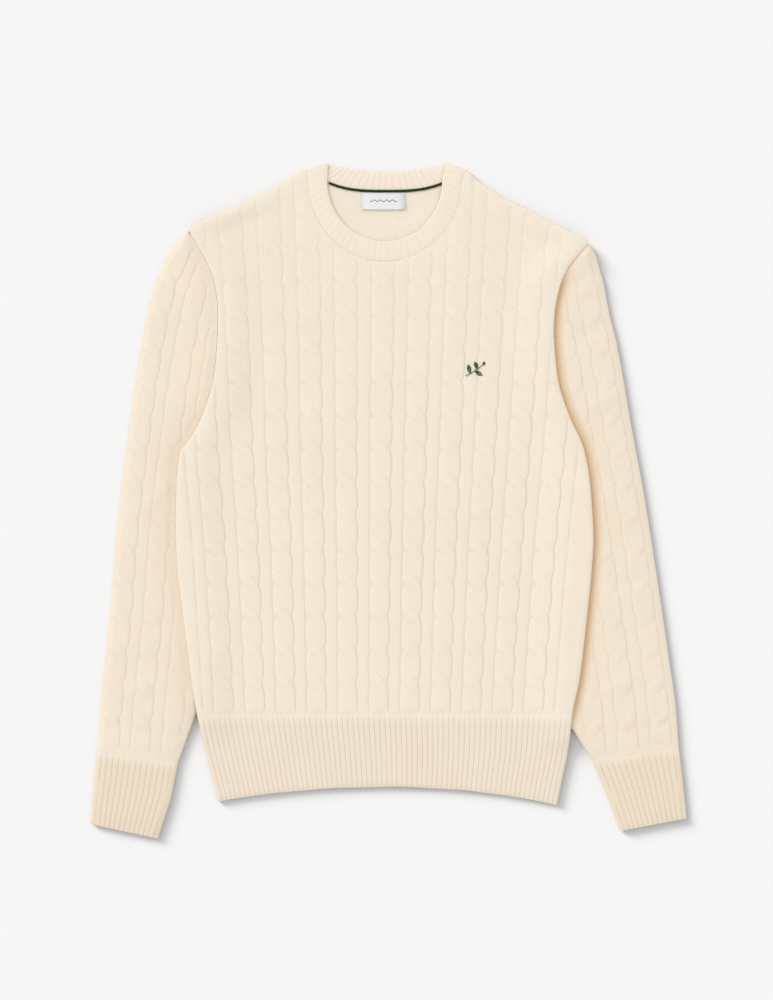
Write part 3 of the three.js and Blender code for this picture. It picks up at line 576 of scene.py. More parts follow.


# Wool yarn, knitted: matt and soft, each stitch a small V. Shade is painted into its colour: places given painted shade
# per point (grooves, seams, edges, insides) and the gaps between stitch legs are mixed toward a warmer, darker shade
# colour; the slow patches are the yarn's own uneven tone.
def woolKnit(name, face, shadeColour, stitchDepth):
    material = bpy.data.materials.new(name)
    material.use_nodes = True
    tree = material.node_tree
    shader = tree.nodes["Principled BSDF"]
    places = addNode(tree, "ShaderNodeUVMap", {}, uv_map="stitches").outputs[0]
    parts = addNode(tree, "ShaderNodeSeparateXYZ", {0: places})
    column = addNode(tree, "ShaderNodeMath", {0: parts.outputs[0]}, operation="FRACT")
    centred = addNode(tree, "ShaderNodeMath", {0: column.outputs[0], 1: 0.5}, operation="SUBTRACT")
    aside = addNode(tree, "ShaderNodeMath", {0: centred.outputs[0]}, operation="ABSOLUTE")
    legTurn = addNode(tree, "ShaderNodeMath", {0: aside.outputs[0], 1: 2 * math.pi}, operation="MULTIPLY")
    leg = addNode(tree, "ShaderNodeMath", {0: legTurn.outputs[0]}, operation="SINE")
    slant = addNode(
        tree, "ShaderNodeMath", {0: aside.outputs[0], 1: -1.1, 2: parts.outputs[1]}, operation="MULTIPLY_ADD"
    )
    rowTurn = addNode(tree, "ShaderNodeMath", {0: slant.outputs[0], 1: 2 * math.pi}, operation="MULTIPLY")
    wave = addNode(tree, "ShaderNodeMath", {0: rowTurn.outputs[0]}, operation="COSINE")
    ripple = addNode(tree, "ShaderNodeMath", {0: wave.outputs[0], 1: 0.38, 2: 0.62}, operation="MULTIPLY_ADD")
    stitch = addNode(
        tree, "ShaderNodeMath", {0: leg.outputs[0], 1: ripple.outputs[0]}, operation="MULTIPLY"
    )
    objectPlace = addNode(tree, "ShaderNodeTexCoord", {}).outputs["Object"]
    fuzz = addNode(
        tree, "ShaderNodeTexNoise", {"Vector": objectPlace, "Scale": 900.0, "Detail": 3.0, "Roughness": 0.7}
    )
    uneven = addNode(
        tree, "ShaderNodeTexNoise", {"Vector": objectPlace, "Scale": 14.0, "Detail": 3.0, "Roughness": 0.6}
    )
    fuzzy = addNode(
        tree, "ShaderNodeMath", {0: fuzz.outputs[0], 1: 0.35, 2: stitch.outputs[0]}, operation="MULTIPLY_ADD"
    )
    bump = addNode(
        tree, "ShaderNodeBump", {"Height": fuzzy.outputs[0], "Distance": stitchDepth * mm, "Strength": 1.0}
    )
    tree.links.new(bump.outputs[0], shader.inputs["Normal"])
    paintedShade = addNode(tree, "ShaderNodeAttribute", {}, attribute_name="paintedShade").outputs["Fac"]
    # Painted shade in the gaps between the stitch legs
    gap = addNode(
        tree, "ShaderNodeMapRange",
        {"Value": stitch.outputs[0], "From Min": 0.0, "From Max": 0.5, "To Min": 0.07, "To Max": 0.0},
    )
    depth = addNode(
        tree, "ShaderNodeMath", {0: paintedShade, 1: 1.0, 2: gap.outputs[0]}, operation="MULTIPLY_ADD", use_clamp=True
    )
    patch = addNode(
        tree, "ShaderNodeMapRange",
        {"Value": uneven.outputs[0], "From Min": 0.3, "From Max": 0.7, "To Min": -0.03, "To Max": 0.03},
    )
    blend = addNode(tree, "ShaderNodeMath", {0: depth.outputs[0], 1: patch.outputs[0]}, operation="ADD", use_clamp=True)
    colour = addNode(
        tree, "ShaderNodeMix", {"Factor": blend.outputs[0], 6: linear(face), 7: linear(shadeColour)}, data_type="RGBA"
    )
    tree.links.new(colour.outputs[2], shader.inputs["Base Color"])
    shader.inputs["Roughness"].default_value = 0.92
    shader.inputs["Specular IOR Level"].default_value = 0.2
    shader.inputs["Sheen Weight"].default_value = 0.15
    shader.inputs["Sheen Roughness"].default_value = 0.5
    return material


bodyWool = woolKnit("lambswool cable knit", "#F8ECDA", "#DDB27A", 0.28)
hemWool = woolKnit("lambswool rib knit", "#F8ECDA", "#CBAE89", 0.24)
cuffWool = woolKnit("lambswool rib knit, drawn in", "#F8ECDA", "#CAA873", 0.24)
neckWool = woolKnit("lambswool rib knit, fine", "#F8EBDA", "#DDB27A", 0.24)

# Front panel
frontPanel = {
    "creases": [
        {"from": (184, 262), "to": (150, 214), "width": 8, "height": 0.8, "bow": 3},
        {"from": (192, 246), "to": (166, 196), "width": 7, "height": -0.6, "bow": 3},
        {"from": (-190, 262), "to": (-150, 222), "width": 8, "height": 0.7, "bow": -3},
        {"from": (-196, 240), "to": (-162, 190), "width": 8, "height": -0.6, "bow": -2},
        {"from": (-196, 70), "to": (-150, 120), "width": 10, "height": 0.6},
        {"from": (196, 66), "to": (150, 112), "width": 10, "height": 0.6},
        {"from": (-205, -190), "to": (-160, -150), "width": 10, "height": 0.6},
        {"from": (200, -200), "to": (150, -168), "width": 10, "height": 0.6},
        {"from": (-60, -205), "to": (40, -196), "width": 12, "height": 0.4},
    ],
    "flat": (0.445, 0.600),
    "area": 0.226,
}


# Distance outward from the neck seam
def fromNeck(x, y):
    middle, top = neck["centre"]
    half, depth = neck["seam"]["halfWidth"], neck["seam"]["depth"]
    round01 = np.hypot((x - middle) / half, (y - top) / depth)
    return np.where(y < top, (round01 - 1) * half, np.abs(x - middle) - half)


def frontUpper(x, y, inward):
    relief, paintedShade = bodyRelief(x, y)
    pressed = mix(1, cable["pressed"], smooth(y, 20, 300))
    relief, paintedShade = relief * pressed, paintedShade * pressed
    aboveHem = smooth(y - body["hemLine"], 0, 3)
    relief = mix(cloth["seamHeight"], relief + creased(x, y, frontPanel["creases"]), aboveHem)
    keep = smooth(inward, 0, cloth["edgeWidth"]) * smooth(fromNeck(x, y), -2, 12)
    joined = np.where(x < neck["centre"][0], joinedAt["left"](y), joinedAt["right"](y))
    free = smooth(fromNeck(x, y), 3, 12) * (1 - 0.6 * joined)
    roll = cloth["edgeDip"] * mix(0.1, 1, free) * edgeRoll(inward)
    z = bodyLift(x, y) + cloth["frontFace"] + relief * keep - roll
    # Painted shade: the relief's grooves and crossings, and a darker rim painted along the panel's free edges away from
    # the neck
    return z, paintedShade * keep * aboveHem + 0.1 * free * (1 - smooth(inward, 0, 1.6))


def frontLower(x, y, inward):
    edge = inward < 0.2
    inside = np.where(edge, cloth["wall"] + cloth["seamGap"], cloth["frontInside"])
    # The plain inside of the front is painted in shade (0.3)
    return bodyLift(x, y) + inside, np.full(len(x), 0.3)


upper = {"columns": bodyColumns, "along": bodyAcross, "rings": cloth["rings"], "height": frontUpper}
lower = {"columns": shareColumns(16), "along": bodyShare, "rings": [0.0], "height": frontLower}
frontBottom = neck["centre"][1] - neck["seam"]["depth"]
skin = bodyPanel(frontNeckX, frontNeckCurve, frontBottom, upper, lower)
knitFront = makeCloth("knitFront", skin, bodyWool, bodyStitches, "front")

# Back panel: its face is on the surface below, its plain side shows in the neck
backPanel = {
    "flatten": 0.55,
    "purlRise": 0.45,
    "neckRise": 1.8,
    "fineFrom": 245.0,
    "flat": (0.445, 0.600),
    "area": 0.240,
}
reliefTop = cable["groove"] + cable["rise"] + cable["over"]


# Share of the way that the back rises to the front's free neck edge: it touches it at the
# right and below, and lies lower than it at the left
def meetsFront(x, y):
    middle, top = neck["centre"]
    across, up = (x - middle) / neck["free"]["halfWidth"], (y - top) / neck["free"]["depth"]
    fromEdge = (1 - np.hypot(across, np.minimum(up, 0))) * neck["free"]["halfWidth"]
    touching = smooth(across - up, -0.5, 0.7) * (1 - smooth(y, 305, 326))
    visible = mix(0.6, 1, smooth(fromEdge, -1, 2))
    return touching * visible * (1 - smooth(fromEdge, 3, 22)) * (1 - smooth(-fromEdge, 3, 14))


def backUpper(x, y, inward):
    height, _, paintedShade = rope(bodyAcross(x, y), crossingPlace(y))
    purl = backPanel["purlRise"] * smooth(height, cable["groove"], 2.0)
    keep = smooth(inward, 0, 4) * (y > backPanel["fineFrom"])
    rise = backPanel["neckRise"] * meetsFront(x, y)
    # The plain inside of the back, seen in the neck, is painted with a little shade, and faint shade where the cables
    # lie behind it
    return bodyLift(x, y) + cloth["wall"] + (0.2 - purl) * keep + rise, 0.02 + 0.3 * paintedShade * keep


def backLower(x, y, inward):
    relief, paintedShade = bodyRelief(x, y)
    keep = smooth(inward, 0, cloth["edgeWidth"])
    height = backPanel["flatten"] * (reliefTop - np.minimum(relief, reliefTop))
    # Painted shade in the grooves of the cabled face, which lies on the surface
    return bodyLift(x, y) + height * keep + 0.9 * edgeRoll(inward), paintedShade * keep


def backColumns(y):
    if y > backPanel["fineFrom"]:
        return shareColumns(110)(y)
    return shareColumns(16)(y)


upper = {"columns": backColumns, "along": bodyShare, "rings": [0.0], "height": backUpper}
lower = {"columns": bodyColumns, "along": bodyAcross, "rings": cloth["rings"], "height": backLower}
skin = bodyPanel(backNeckX, backNeckCurve, neck["backSeam"]["y"], upper, lower)
knitBack = makeCloth("knitBack", skin, bodyWool, bodyStitches, "back")
print("sweater: body panels sewn")

# Hems: ribbed bands, one knit column and one purl column to a rib
hem = {
    "ribs": 70,
    "rib": 0.75,
    "shade": 0.27,
    "tone": 0.13,  # shade painted over the whole band, so that it is darker than the body
    "steps": 8,
    "rows": 26,
    "bottom": {"x": -2.5, "y": -304.0, "sagLeft": 16.0, "sagRight": 20.5, "halfWidth": 180.0},
    "flat": (0.400, 0.098),
    "area": 0.0325,
}


# Height across a rib, and the shade painted into the colour between ribs
def ribWave(ribPlace, height, shade):
    away = np.abs(ribPlace - np.floor(ribPlace) - 0.5) * 2
    crown = np.sqrt(np.clip(1 - away ** 2.4, 0, 1))
    return height * crown, shade * (1 - smooth(crown, 0.1, 0.8))


def hemPlace(across, level):
    top = body["hemLine"] - cloth["seam"]
    x = mix(bodyLeft(top), bodyRight(top), across)
    bottom = hem["bottom"]
    side = np.where(x < bottom["x"], bottom["sagLeft"], bottom["sagRight"])
    sag = side * ((x - bottom["x"]) / (bottom["halfWidth"] + 20)) ** 2
    y = mix(bottom["y"] - sag * 0.98, top, level)
    return mix(bodyLeft(y), bodyRight(y), across), y


def hemPanel(isFront):
    skin = Skin()
    levels = np.concatenate([[0, 0.012, 0.035], np.linspace(0.07, 0.985, hem["rows"]), [0.9985, 1]])
    fine = np.linspace(0, 1, hem["steps"] * hem["ribs"] + 1)
    coarse = np.concatenate([[0, 0.02, 0.05, 0.08, 0.11, 0.15], [0.3, 0.5, 0.7], [0.85, 0.89, 0.92, 0.95, 0.98, 1]])

    def surface(level, shares, isFine):
        x, y = hemPlace(shares, level)
        width = x[-1] - x[0]
        inward = np.minimum(np.minimum(shares, 1 - shares) * width, 78 * level)
        lift = bodyLift(x, y)
        ribs, paintedShade = ribWave(shares * hem["ribs"], hem["rib"], hem["shade"])
        keep = smooth(inward, 0, 3)
        top = smooth(78 * (1 - level), 0, 9)
        # Painted shade: tone darkens the whole band, fading out at its top and its sides; the ribs' painted shade is
        # added on the ribbed faces, and the plain faces are painted in shade (0.4)
        tone = hem["tone"] * smooth(78 * (1 - level), 0, 12) * smooth(inward, 0, 1.5)
        if isFront and isFine:
            z = cloth["frontFace"] + mix(cloth["seamHeight"] * keep, ribs * keep, top) - 2.0 * edgeRoll(inward)
        elif isFront:
            z = np.where(inward < 0.2, cloth["wall"] + cloth["seamGap"], cloth["frontInside"])
        elif isFine:
            z = (hem["rib"] - ribs) * keep + 0.9 * edgeRoll(inward)
        else:
            z = np.full(len(x), cloth["wall"])
        return skin.row(x, y, lift + z, paintedShade * top + tone if isFine else 0.4, shares)

    previous = None
    for level in levels:
        row = {
            "upper": surface(level, fine if isFront else coarse, isFront),
            "lower": surface(level, coarse if isFront else fine, not isFront),
        }
        if previous is None:
            capRow(skin, row, False)
        else:
            sewWall(skin, previous, row)
        previous = row
    capRow(skin, previous, True)
    return skin


def hemStitches(corners, middles):
    share = bodyShare(corners[:, 0], corners[:, 1])
    return share * hem["ribs"], corners[:, 1] / cloth["stitchRow"]


ribFront = makeCloth("ribHemFront", hemPanel(True), hemWool, hemStitches, "hem_front")
ribBack = makeCloth("ribHemBack", hemPanel(False), hemWool, hemStitches, "hem_back")
print("sweater: hems knitted")

# Sleeves and cuffs, by the side of the laid garment that they are on
sleeves = {
    "right": {
        "names": ("knitSleeveLeft", "sleeve_left", "ribCuffLeft", "cuff_left"),
        "seamShade": 0.62,
        "top": 273.2,
        "firstCable": 19.0,
        "repeat": 35.0,
        "crotch": (194.3, -242.5),
        "outer": {
            "y": [276, 272, 260, 245, 230, 200, 165, 120, 75, 12, -53, -106, -160, -222, -262],
            "x": [207.0, 211.8, 219.4, 224.0, 228.2, 233.8, 242.3, 250.6, 258.3, 270.1, 280.5, 288.5, 296.4,
                  305.0, 308.0],
        },
        "cuff": [((308, -262), (215.5, -274.5)), ((312.5, -300), (231, -312)), ((316.5, -337.5), (245.5, -351))],
        "creases": [
            {"from": (196, 215), "to": (232, 232), "width": 7, "height": 1.6},
            {"from": (190, 165), "to": (236, 190), "width": 8, "height": -1.4},
            {"from": (206, 92), "to": (250, 118), "width": 9, "height": 1.5},
            {"from": (222, 10), "to": (262, -22), "width": 9, "height": 1.3},
            {"from": (226, -96), "to": (280, -80), "width": 9, "height": -1.2},
            {"from": (222, -205), "to": (270, -186), "width": 8, "height": 1.3},
            {"from": (230, -250), "to": (296, -236), "width": 6, "height": -1.0},
        ],
        "flat": (0.225, 0.545),
        "area": 0.0865,
        "cuffFlat": (0.172, 0.086),
        "cuffArea": 0.0127,
    },
    "left": {
        "names": ("knitSleeveRight", "sleeve_right", "ribCuffRight", "cuff_right"),
        "seamShade": 0.04,
        "top": 286.8,
        "firstCable": 13.0,
        "repeat": 33.0,
        "crotch": (-203.0, -224.5),
        "outer": {
            "y": [287, 272, 260, 245, 230, 200, 165, 120, 75, 12, -53, -106, -160, -222, -266],
            "x": [-209.8, -225.1, -234.0, -240.9, -247.3, -255.2, -262.3, -269.6, -275.6, -283.6, -290.4, -294.0,
                  -299.6, -306.0, -309.5],
        },
        "cuff": [((-309.5, -266), (-223, -277.5)), ((-313, -304), (-231, -318)), ((-316.5, -343.5), (-244.5, -359))],
        "creases": [
            {"from": (-198, 205), "to": (-246, 236), "width": 8, "height": 1.6},
            {"from": (-196, 150), "to": (-250, 186), "width": 8, "height": -1.3},
            {"from": (-210, 96), "to": (-262, 124), "width": 9, "height": 1.4},
            {"from": (-232, 16), "to": (-276, -24), "width": 9, "height": 1.3},
            {"from": (-240, -96), "to": (-286, -72), "width": 9, "height": -1.2},
            {"from": (-228, -190), "to": (-286, -206), "width": 8, "height": 1.2},
            {"from": (-232, -252), "to": (-300, -236), "width": 6, "height": -1.0},
        ],
        "flat": (0.230, 0.555),
        "area": 0.0915,
        "cuffFlat": (0.175, 0.086),
        "cuffArea": 0.0129,
    },
}
fold = {
    "middle": 3.0,
    "half": 3.0,
    "width": 6.5,
    "rings": [0.0, 0.25, 0.9, 2.0, 3.6, 5.4],
    "narrow": 13.0,
    "crown": 2.6,
    "flatten": 0.5,
    "beside": [7.0, 4.0, 2.2, 1.0, 0.4, 0.14, 0.02, -0.5],  # rows of points beside the body's edge
    "joinRise": 5.2,
    "cuffCrown": 1.3,  # rise of a sleeve's middle where its cuff begins
    "relief": 0.78,  # share of the body's cable relief that the sleeves have
}


def sleeveInnerX(side, spec, outline, y):
    sign = 1 if side == "left" else -1
    if y >= spec["crotch"][1]:
        return float(outline(y)) + sign * float(tuckAt[side](y))
    foot = spec["cuff"][0][1]
    share = min(1, (spec["crotch"][1] - y) / (spec["crotch"][1] - foot[1]))
    return mix(spec["crotch"][0], foot[0], share)


# Width of a sleeve's row that lies under the body, from its inner end
def coveredWidth(outline, outer, inner, width):
    share = np.linspace(1, 0, 400)
    x = mix(outer[0], inner[0], share)
    y = mix(outer[1], inner[1], share)
    under = np.abs(x) < np.abs(outline(y))
    under &= y > body["hemLine"] - 40
    return width * (1 - share[np.argmin(under)]) if under[0] else 0.0


# Half thickness of a folded edge at a distance inward from it
def foldHalf(inward, half):
    share = np.clip(inward / fold["width"], 0, 1)
    return half * np.sqrt(1 - (1 - share) ** 2.2)


# A flattened tube of cloth, open at both ends, from rows that run between its two folds
def flatTube(rows):
    skin = Skin()
    previous = None
    for number, row in enumerate(rows):
        outer, inner, width = np.array(row["outer"], float), np.array(row["inner"], float), row["width"]

        def place(inward):
            share = (inward / width)[:, None]
            p = outer + (inner - outer) * share
            return p[:, 0], p[:, 1]

        shown = width - row.get("covered", 0)
        scale = max(0.15, min(1, width / fold["narrow"], shown / (fold["rings"][-1] + 0.2)))
        rings = np.array(fold["rings"]) * scale
        columns, along = row["columns"]
        clear = rings[-1] + 0.6 * scale
        kept = (columns > clear) & (columns < width - clear)
        ends = np.linspace(-100, -99, len(rings))
        inward = np.concatenate([rings, columns[kept], (width - rings)[::-1]])
        order = np.concatenate([ends, along[kept], ends + 300])
        edge = np.minimum(inward, width - inward)
        half = foldHalf(edge, fold["half"] * row["thickness"])
        x, y = place(inward)
        top, topShade = row["top"](inward, x, y)
        under, underShade = row["under"](inward, x, y)
        upper = skin.row(x, y, fold["middle"] + half + top, topShade, order)
        bottomZ = fold["middle"] - half + under
        inside = slice(1, -1)
        middle = skin.row(x[inside], y[inside], bottomZ[inside], underShade[inside], order[inside])
        lower = [upper[0]] + middle + [upper[-1]]
        wall = np.array([0.03, 0.08, 0.3, 0.5, 0.7, 0.92, 0.97]) * width
        order = np.arange(len(wall))
        x, y = place(wall)
        gap = np.where((order == 0) | (order == len(wall) - 1), 0.0, 0.4)
        # The tube's inside walls are painted in shade (0.5)
        upperInside = skin.row(x, y, fold["middle"] + gap, 0.5, order)
        innerMiddle = skin.row(x[inside], y[inside], fold["middle"] - gap[inside], 0.5, order[inside])
        lowerInside = [upperInside[0]] + innerMiddle + [upperInside[-1]]
        current = {"upper": upper, "lower": lower, "upperInside": upperInside, "lowerInside": lowerInside}
        if previous is not None:
            skin.sew(previous["upper"], upper)
            skin.sew(previous["lower"], lower, True)
            skin.sew(previous["upperInside"], upperInside, True)
            skin.sew(previous["lowerInside"], lowerInside)
        if number in (0, len(rows) - 1):
            share = lambda points: [(n, k / (len(points) - 1)) for k, (n, _) in enumerate(points)]
            turned = number > 0
            skin.sew(share(upperInside), share(upper), turned)
            skin.sew(share(lowerInside), share(lower), not turned)
        previous = current
    return skin


# Rise of a sleeve's end, and of its cuff's start, over the flat fold
def seamCrown(inward, width):
    return fold["cuffCrown"] * np.sin(math.pi * np.clip(inward / width, 0, 1))


def sleeveRows(side):
    spec = sleeves[side]
    outline = bodyLeft if side == "left" else bodyRight
    outerX = through(spec["outer"], "x")
    bottom = spec["cuff"][0][0][1]
    rows = []
    count = round((spec["top"] - bottom) / cloth["row"])
    for y in np.insert(np.linspace(bottom, spec["top"], count + 1), 1, bottom + cloth["sharp"]):
        outer = (float(outerX(y)), y)
        lean = 0.134 * abs(outer[0] - sleeveInnerX(side, spec, outline, y))
        inner = (sleeveInnerX(side, spec, outline, y - lean), y - lean)
        if y < bottom + 1:
            outer, inner = [(px, py + y - bottom) for px, py in spec["cuff"][0]]
        width = math.hypot(outer[0] - inner[0], outer[1] - inner[1])
        covered = coveredWidth(outline, outer, inner, width)
        joined = float(joinedAt[side](y))
        up = crossingPlace(y)
        lowest, highest = -spec["firstCable"] / spec["repeat"], (width - spec["firstCable"]) / spec["repeat"]
        across, along = cableColumns(y, lowest, highest)
        columns = spec["firstCable"] + across * spec["repeat"]
        beside = np.array(fold["beside"])
        clear = columns < width - covered - beside[0] - 1
        columns = np.concatenate([columns[clear], width - covered - beside])
        places = np.concatenate([along[clear], 100 + np.arange(len(beside))])
        nearTop = 1 - smooth(spec["top"] - y, 0, 12)
        nearCuff = smooth(y - bottom, 0, 26)

        def top(inward, x, yy, width=width, covered=covered, up=up, nearCuff=nearCuff, nearTop=nearTop, joined=joined):
            height, _, paintedShade = rope((inward - spec["firstCable"]) / spec["repeat"], up)
            fromBody = width - covered - inward
            free = smooth(inward, 0, 7) * smooth(fromBody, mix(3, 1, joined), mix(11, 6, joined))
            crown = fold["crown"] * np.sin(math.pi * np.clip((inward + 3) / (width - covered), 0, 1)) ** 0.8
            bent = (crown + creased(x, yy, spec["creases"])) * free * (1 - nearTop)
            bent = mix(seamCrown(inward, width) + cloth["seamHeight"] * free, bent, nearCuff)
            rise = joined * fold["joinRise"] * (fromBody > 0.1) * (1 - smooth(fromBody, 2, 45))
            rise = rise * smooth(inward, 0, min(12, max(0.3, (width - covered) / 4)))
            keep = free * mix(0.12, fold["relief"], smooth(nearCuff, 0, 0.4))
            # Painted shadow: line darkens the sleeve beside the body's edge where the body lies over it; seam adds a
            # faint broad painted shade towards the armhole and a thin dark painted line right at the body's edge; the
            # whole top is painted a little darker (0.055)
            line = spec["seamShade"] * (1 - joined) * (1 - smooth(fromBody, 0, 14)) * smooth(covered, 0, 8)
            seam = np.maximum(line, 0.04 * (1 - smooth(fromBody, 3, 43)) + 0.06 * (1 - smooth(fromBody, 0.2, 1.6)))
            return height * keep + bent + rise, 0.055 + np.maximum(paintedShade * keep, seam)

        def under(inward, x, yy, width=width, up=up, spec=spec):
            height, _, paintedShade = rope((inward - spec["firstCable"]) / spec["repeat"], up)
            keep = smooth(inward, 0, 7) * smooth(width - inward, 0, 7)
            return fold["flatten"] * (reliefTop - height) * keep, paintedShade * keep

        rows.append({
            "outer": outer, "inner": inner, "width": width, "covered": covered,
            "columns": (columns, places),
            "thickness": mix(1, 0.7, nearTop), "top": top, "under": under,
        })
    return rows


def sleeveStitches(side):
    spec = sleeves[side]
    outerX = through(spec["outer"], "x")

    def stitchPlace(corners, middles):
        def place(points):
            outward = np.abs(outerX(points[:, 1]) - points[:, 0])
            y = points[:, 1] + 0.134 * outward
            inward = np.abs(outerX(y) - points[:, 0]) * 1.009
            return (inward - spec["firstCable"]) / spec["repeat"], y

        across, y = place(corners)
        middleAcross, middleY = place(middles)
        return ropeStitches(across, crossingPlace(y), middleAcross, crossingPlace(middleY), spec["repeat"], y)

    return stitchPlace


cuff = {"ribs": 14, "rib": 0.75, "shade": 0.24, "tone": 0.2, "steps": 8, "rows": 30}


def cuffRows(side):
    rows = []
    stations = sleeves[side]["cuff"]
    shares = np.concatenate([[0, 0.003], np.linspace(0.06, 1.94, cuff["rows"]), [1.975, 2.0]])
    for share in shares:
        k = min(1, int(share))
        outer = mix(np.array(stations[k][0], float), np.array(stations[k + 1][0], float), share - k)
        inner = mix(np.array(stations[k][1], float), np.array(stations[k + 1][1], float), share - k)
        if share == 0:
            outer[1] -= cloth["seam"]
            inner[1] -= cloth["seam"]
        width = float(np.hypot(*(outer - inner)))
        fine = np.arange(1, cuff["steps"] * cuff["ribs"]) / cuff["steps"]
        fromTop, fromEnd = 43 * share, 43 * (2 - share)
        crown = smooth(fromEnd, 0, 14)
        # Painted shade: tone darkens the whole cuff, weaker at its top and gone at its very end; the ribs' painted
        # shade is added to it
        tone = cuff["tone"] * mix(0.2, 1, smooth(fromTop, 0, 14)) * smooth(fromEnd, 0, 1.5)

        def top(inward, x, y, width=width, crown=crown, fromTop=fromTop, fromEnd=fromEnd, tone=tone):
            ribs, paintedShade = ribWave(inward / width * cuff["ribs"], cuff["rib"], cuff["shade"])
            keep = smooth(inward, 0, 5) * smooth(width - inward, 0, 5)
            start = smooth(fromTop, -3, 12)
            bend = crown * seamCrown(inward, width) - 1.2 * edgeRoll(fromEnd * 1.6)
            return mix(cloth["seamHeight"], ribs, start) * keep + bend, paintedShade * keep * start + tone

        def under(inward, x, y, width=width, fromEnd=fromEnd, tone=tone):
            ribs, paintedShade = ribWave(inward / width * cuff["ribs"], cuff["rib"], cuff["shade"])
            keep = smooth(inward, 0, 5) * smooth(width - inward, 0, 5)
            return (cuff["rib"] - ribs) * keep + 0.6 * edgeRoll(fromEnd * 1.6), paintedShade * keep + tone

        rows.append({
            "outer": outer, "inner": inner, "width": width, "columns": (fine * width / cuff["ribs"], fine),
            "thickness": 1, "top": top, "under": under,
        })
    return rows


def cuffStitches(side):
    stations = np.array(sleeves[side]["cuff"], float)

    def stitchPlace(corners, middles):
        x, y = corners[:, 0], corners[:, 1]
        topOuter, topInner = stations[0]
        endOuter, endInner = stations[2]
        down = np.clip((topOuter[1] - 0.134 * np.abs(x - topOuter[0]) - y) / 76.0, 0, 1)
        outerX = mix(topOuter[0], endOuter[0], down)
        innerX = mix(topInner[0], endInner[0], down)
        return (x - outerX) / (innerX - outerX) * cuff["ribs"], y / cloth["stitchRow"]

    return stitchPlace


sleevePieces = {}
for side in ("left", "right"):
    sleeveName, sleeveNode, cuffName, cuffNode = sleeves[side]["names"]
    skin = flatTube(sleeveRows(side))
    sleeve = makeCloth(sleeveName, skin, bodyWool, sleeveStitches(side), sleeveNode)
    skin = flatTube(cuffRows(side))
    ending = makeCloth(cuffName, skin, cuffWool, cuffStitches(side), cuffNode)
    sleevePieces[side] = (sleeve, ending)
print("sweater: sleeves and cuffs knitted")

# Neckband: one ring, its front half on the front, its back half seen from the inside
band = {
    "frontRibs": 37,
    "backRibs": 22,
    "steps": 8,
    "turnSteps": 9,
    "rib": {"front": 0.3, "back": 0.5},
    "shade": {"front": 0.08, "back": 0.14},
    "crown": 0.4,
    "freeRise": 0.5,
    "bulge": {"seam": 0.3, "free": 1.0},  # how far each edge of the turned part stands past the shoulder
    "profile": 10,
    "flat": (0.470, 0.024),
    "area": 0.0098,
}


def alongLine(points, count):
    points = np.array(points, float)
    lengths = np.concatenate([[0], np.cumsum(np.hypot(*np.diff(points, axis=0).T))])
    target = np.linspace(0, lengths[-1], count + 1)
    return np.stack([np.interp(target, lengths, points[:, k]) for k in (0, 1)], axis=1)


def neckLines():
    inset = cloth["seam"]
    middle, top = neck["centre"]
    seam, free, foldAt = neck["seam"], neck["free"], neck["fold"]
    angles = np.linspace(math.pi, 2 * math.pi, 97)
    frontSeam = [(seam["leftTop"] + inset, foldAt["seam"])]
    frontSeam += [
        (middle + (seam["halfWidth"] - inset) * math.cos(a), top + (seam["depth"] - inset) * math.sin(a)) for a in angles
    ]
    frontSeam.append((seam["rightTop"] - inset, foldAt["seam"]))
    frontFree = [(free["leftTop"], foldAt["left"])]
    frontFree += [(middle + free["halfWidth"] * math.cos(a), top + free["depth"] * math.sin(a)) for a in angles]
    frontFree.append((free["rightTop"], foldAt["right"]))
    half = backNeckX(foldAt["seam"], 1) - neck["backSeam"]["x"] - inset
    backSeam = [
        (neck["backSeam"]["x"] + o, backNeckY(neck["backSeam"]["x"] + o) + inset * (1 - (o / half) ** 8))
        for o in np.linspace(half, -half, 61)
    ]
    edge = neck["backFree"]
    backFree = []
    for o in np.linspace(edge["halfWidth"], -edge["halfWidth"], 61):
        end = foldAt["right"] if o > 0 else foldAt["left"]
        backFree.append((edge["x"] + o, mix(edge["y"], end, abs(o / edge["halfWidth"]) ** edge["power"])))
    return frontSeam, frontFree, backSeam, backFree


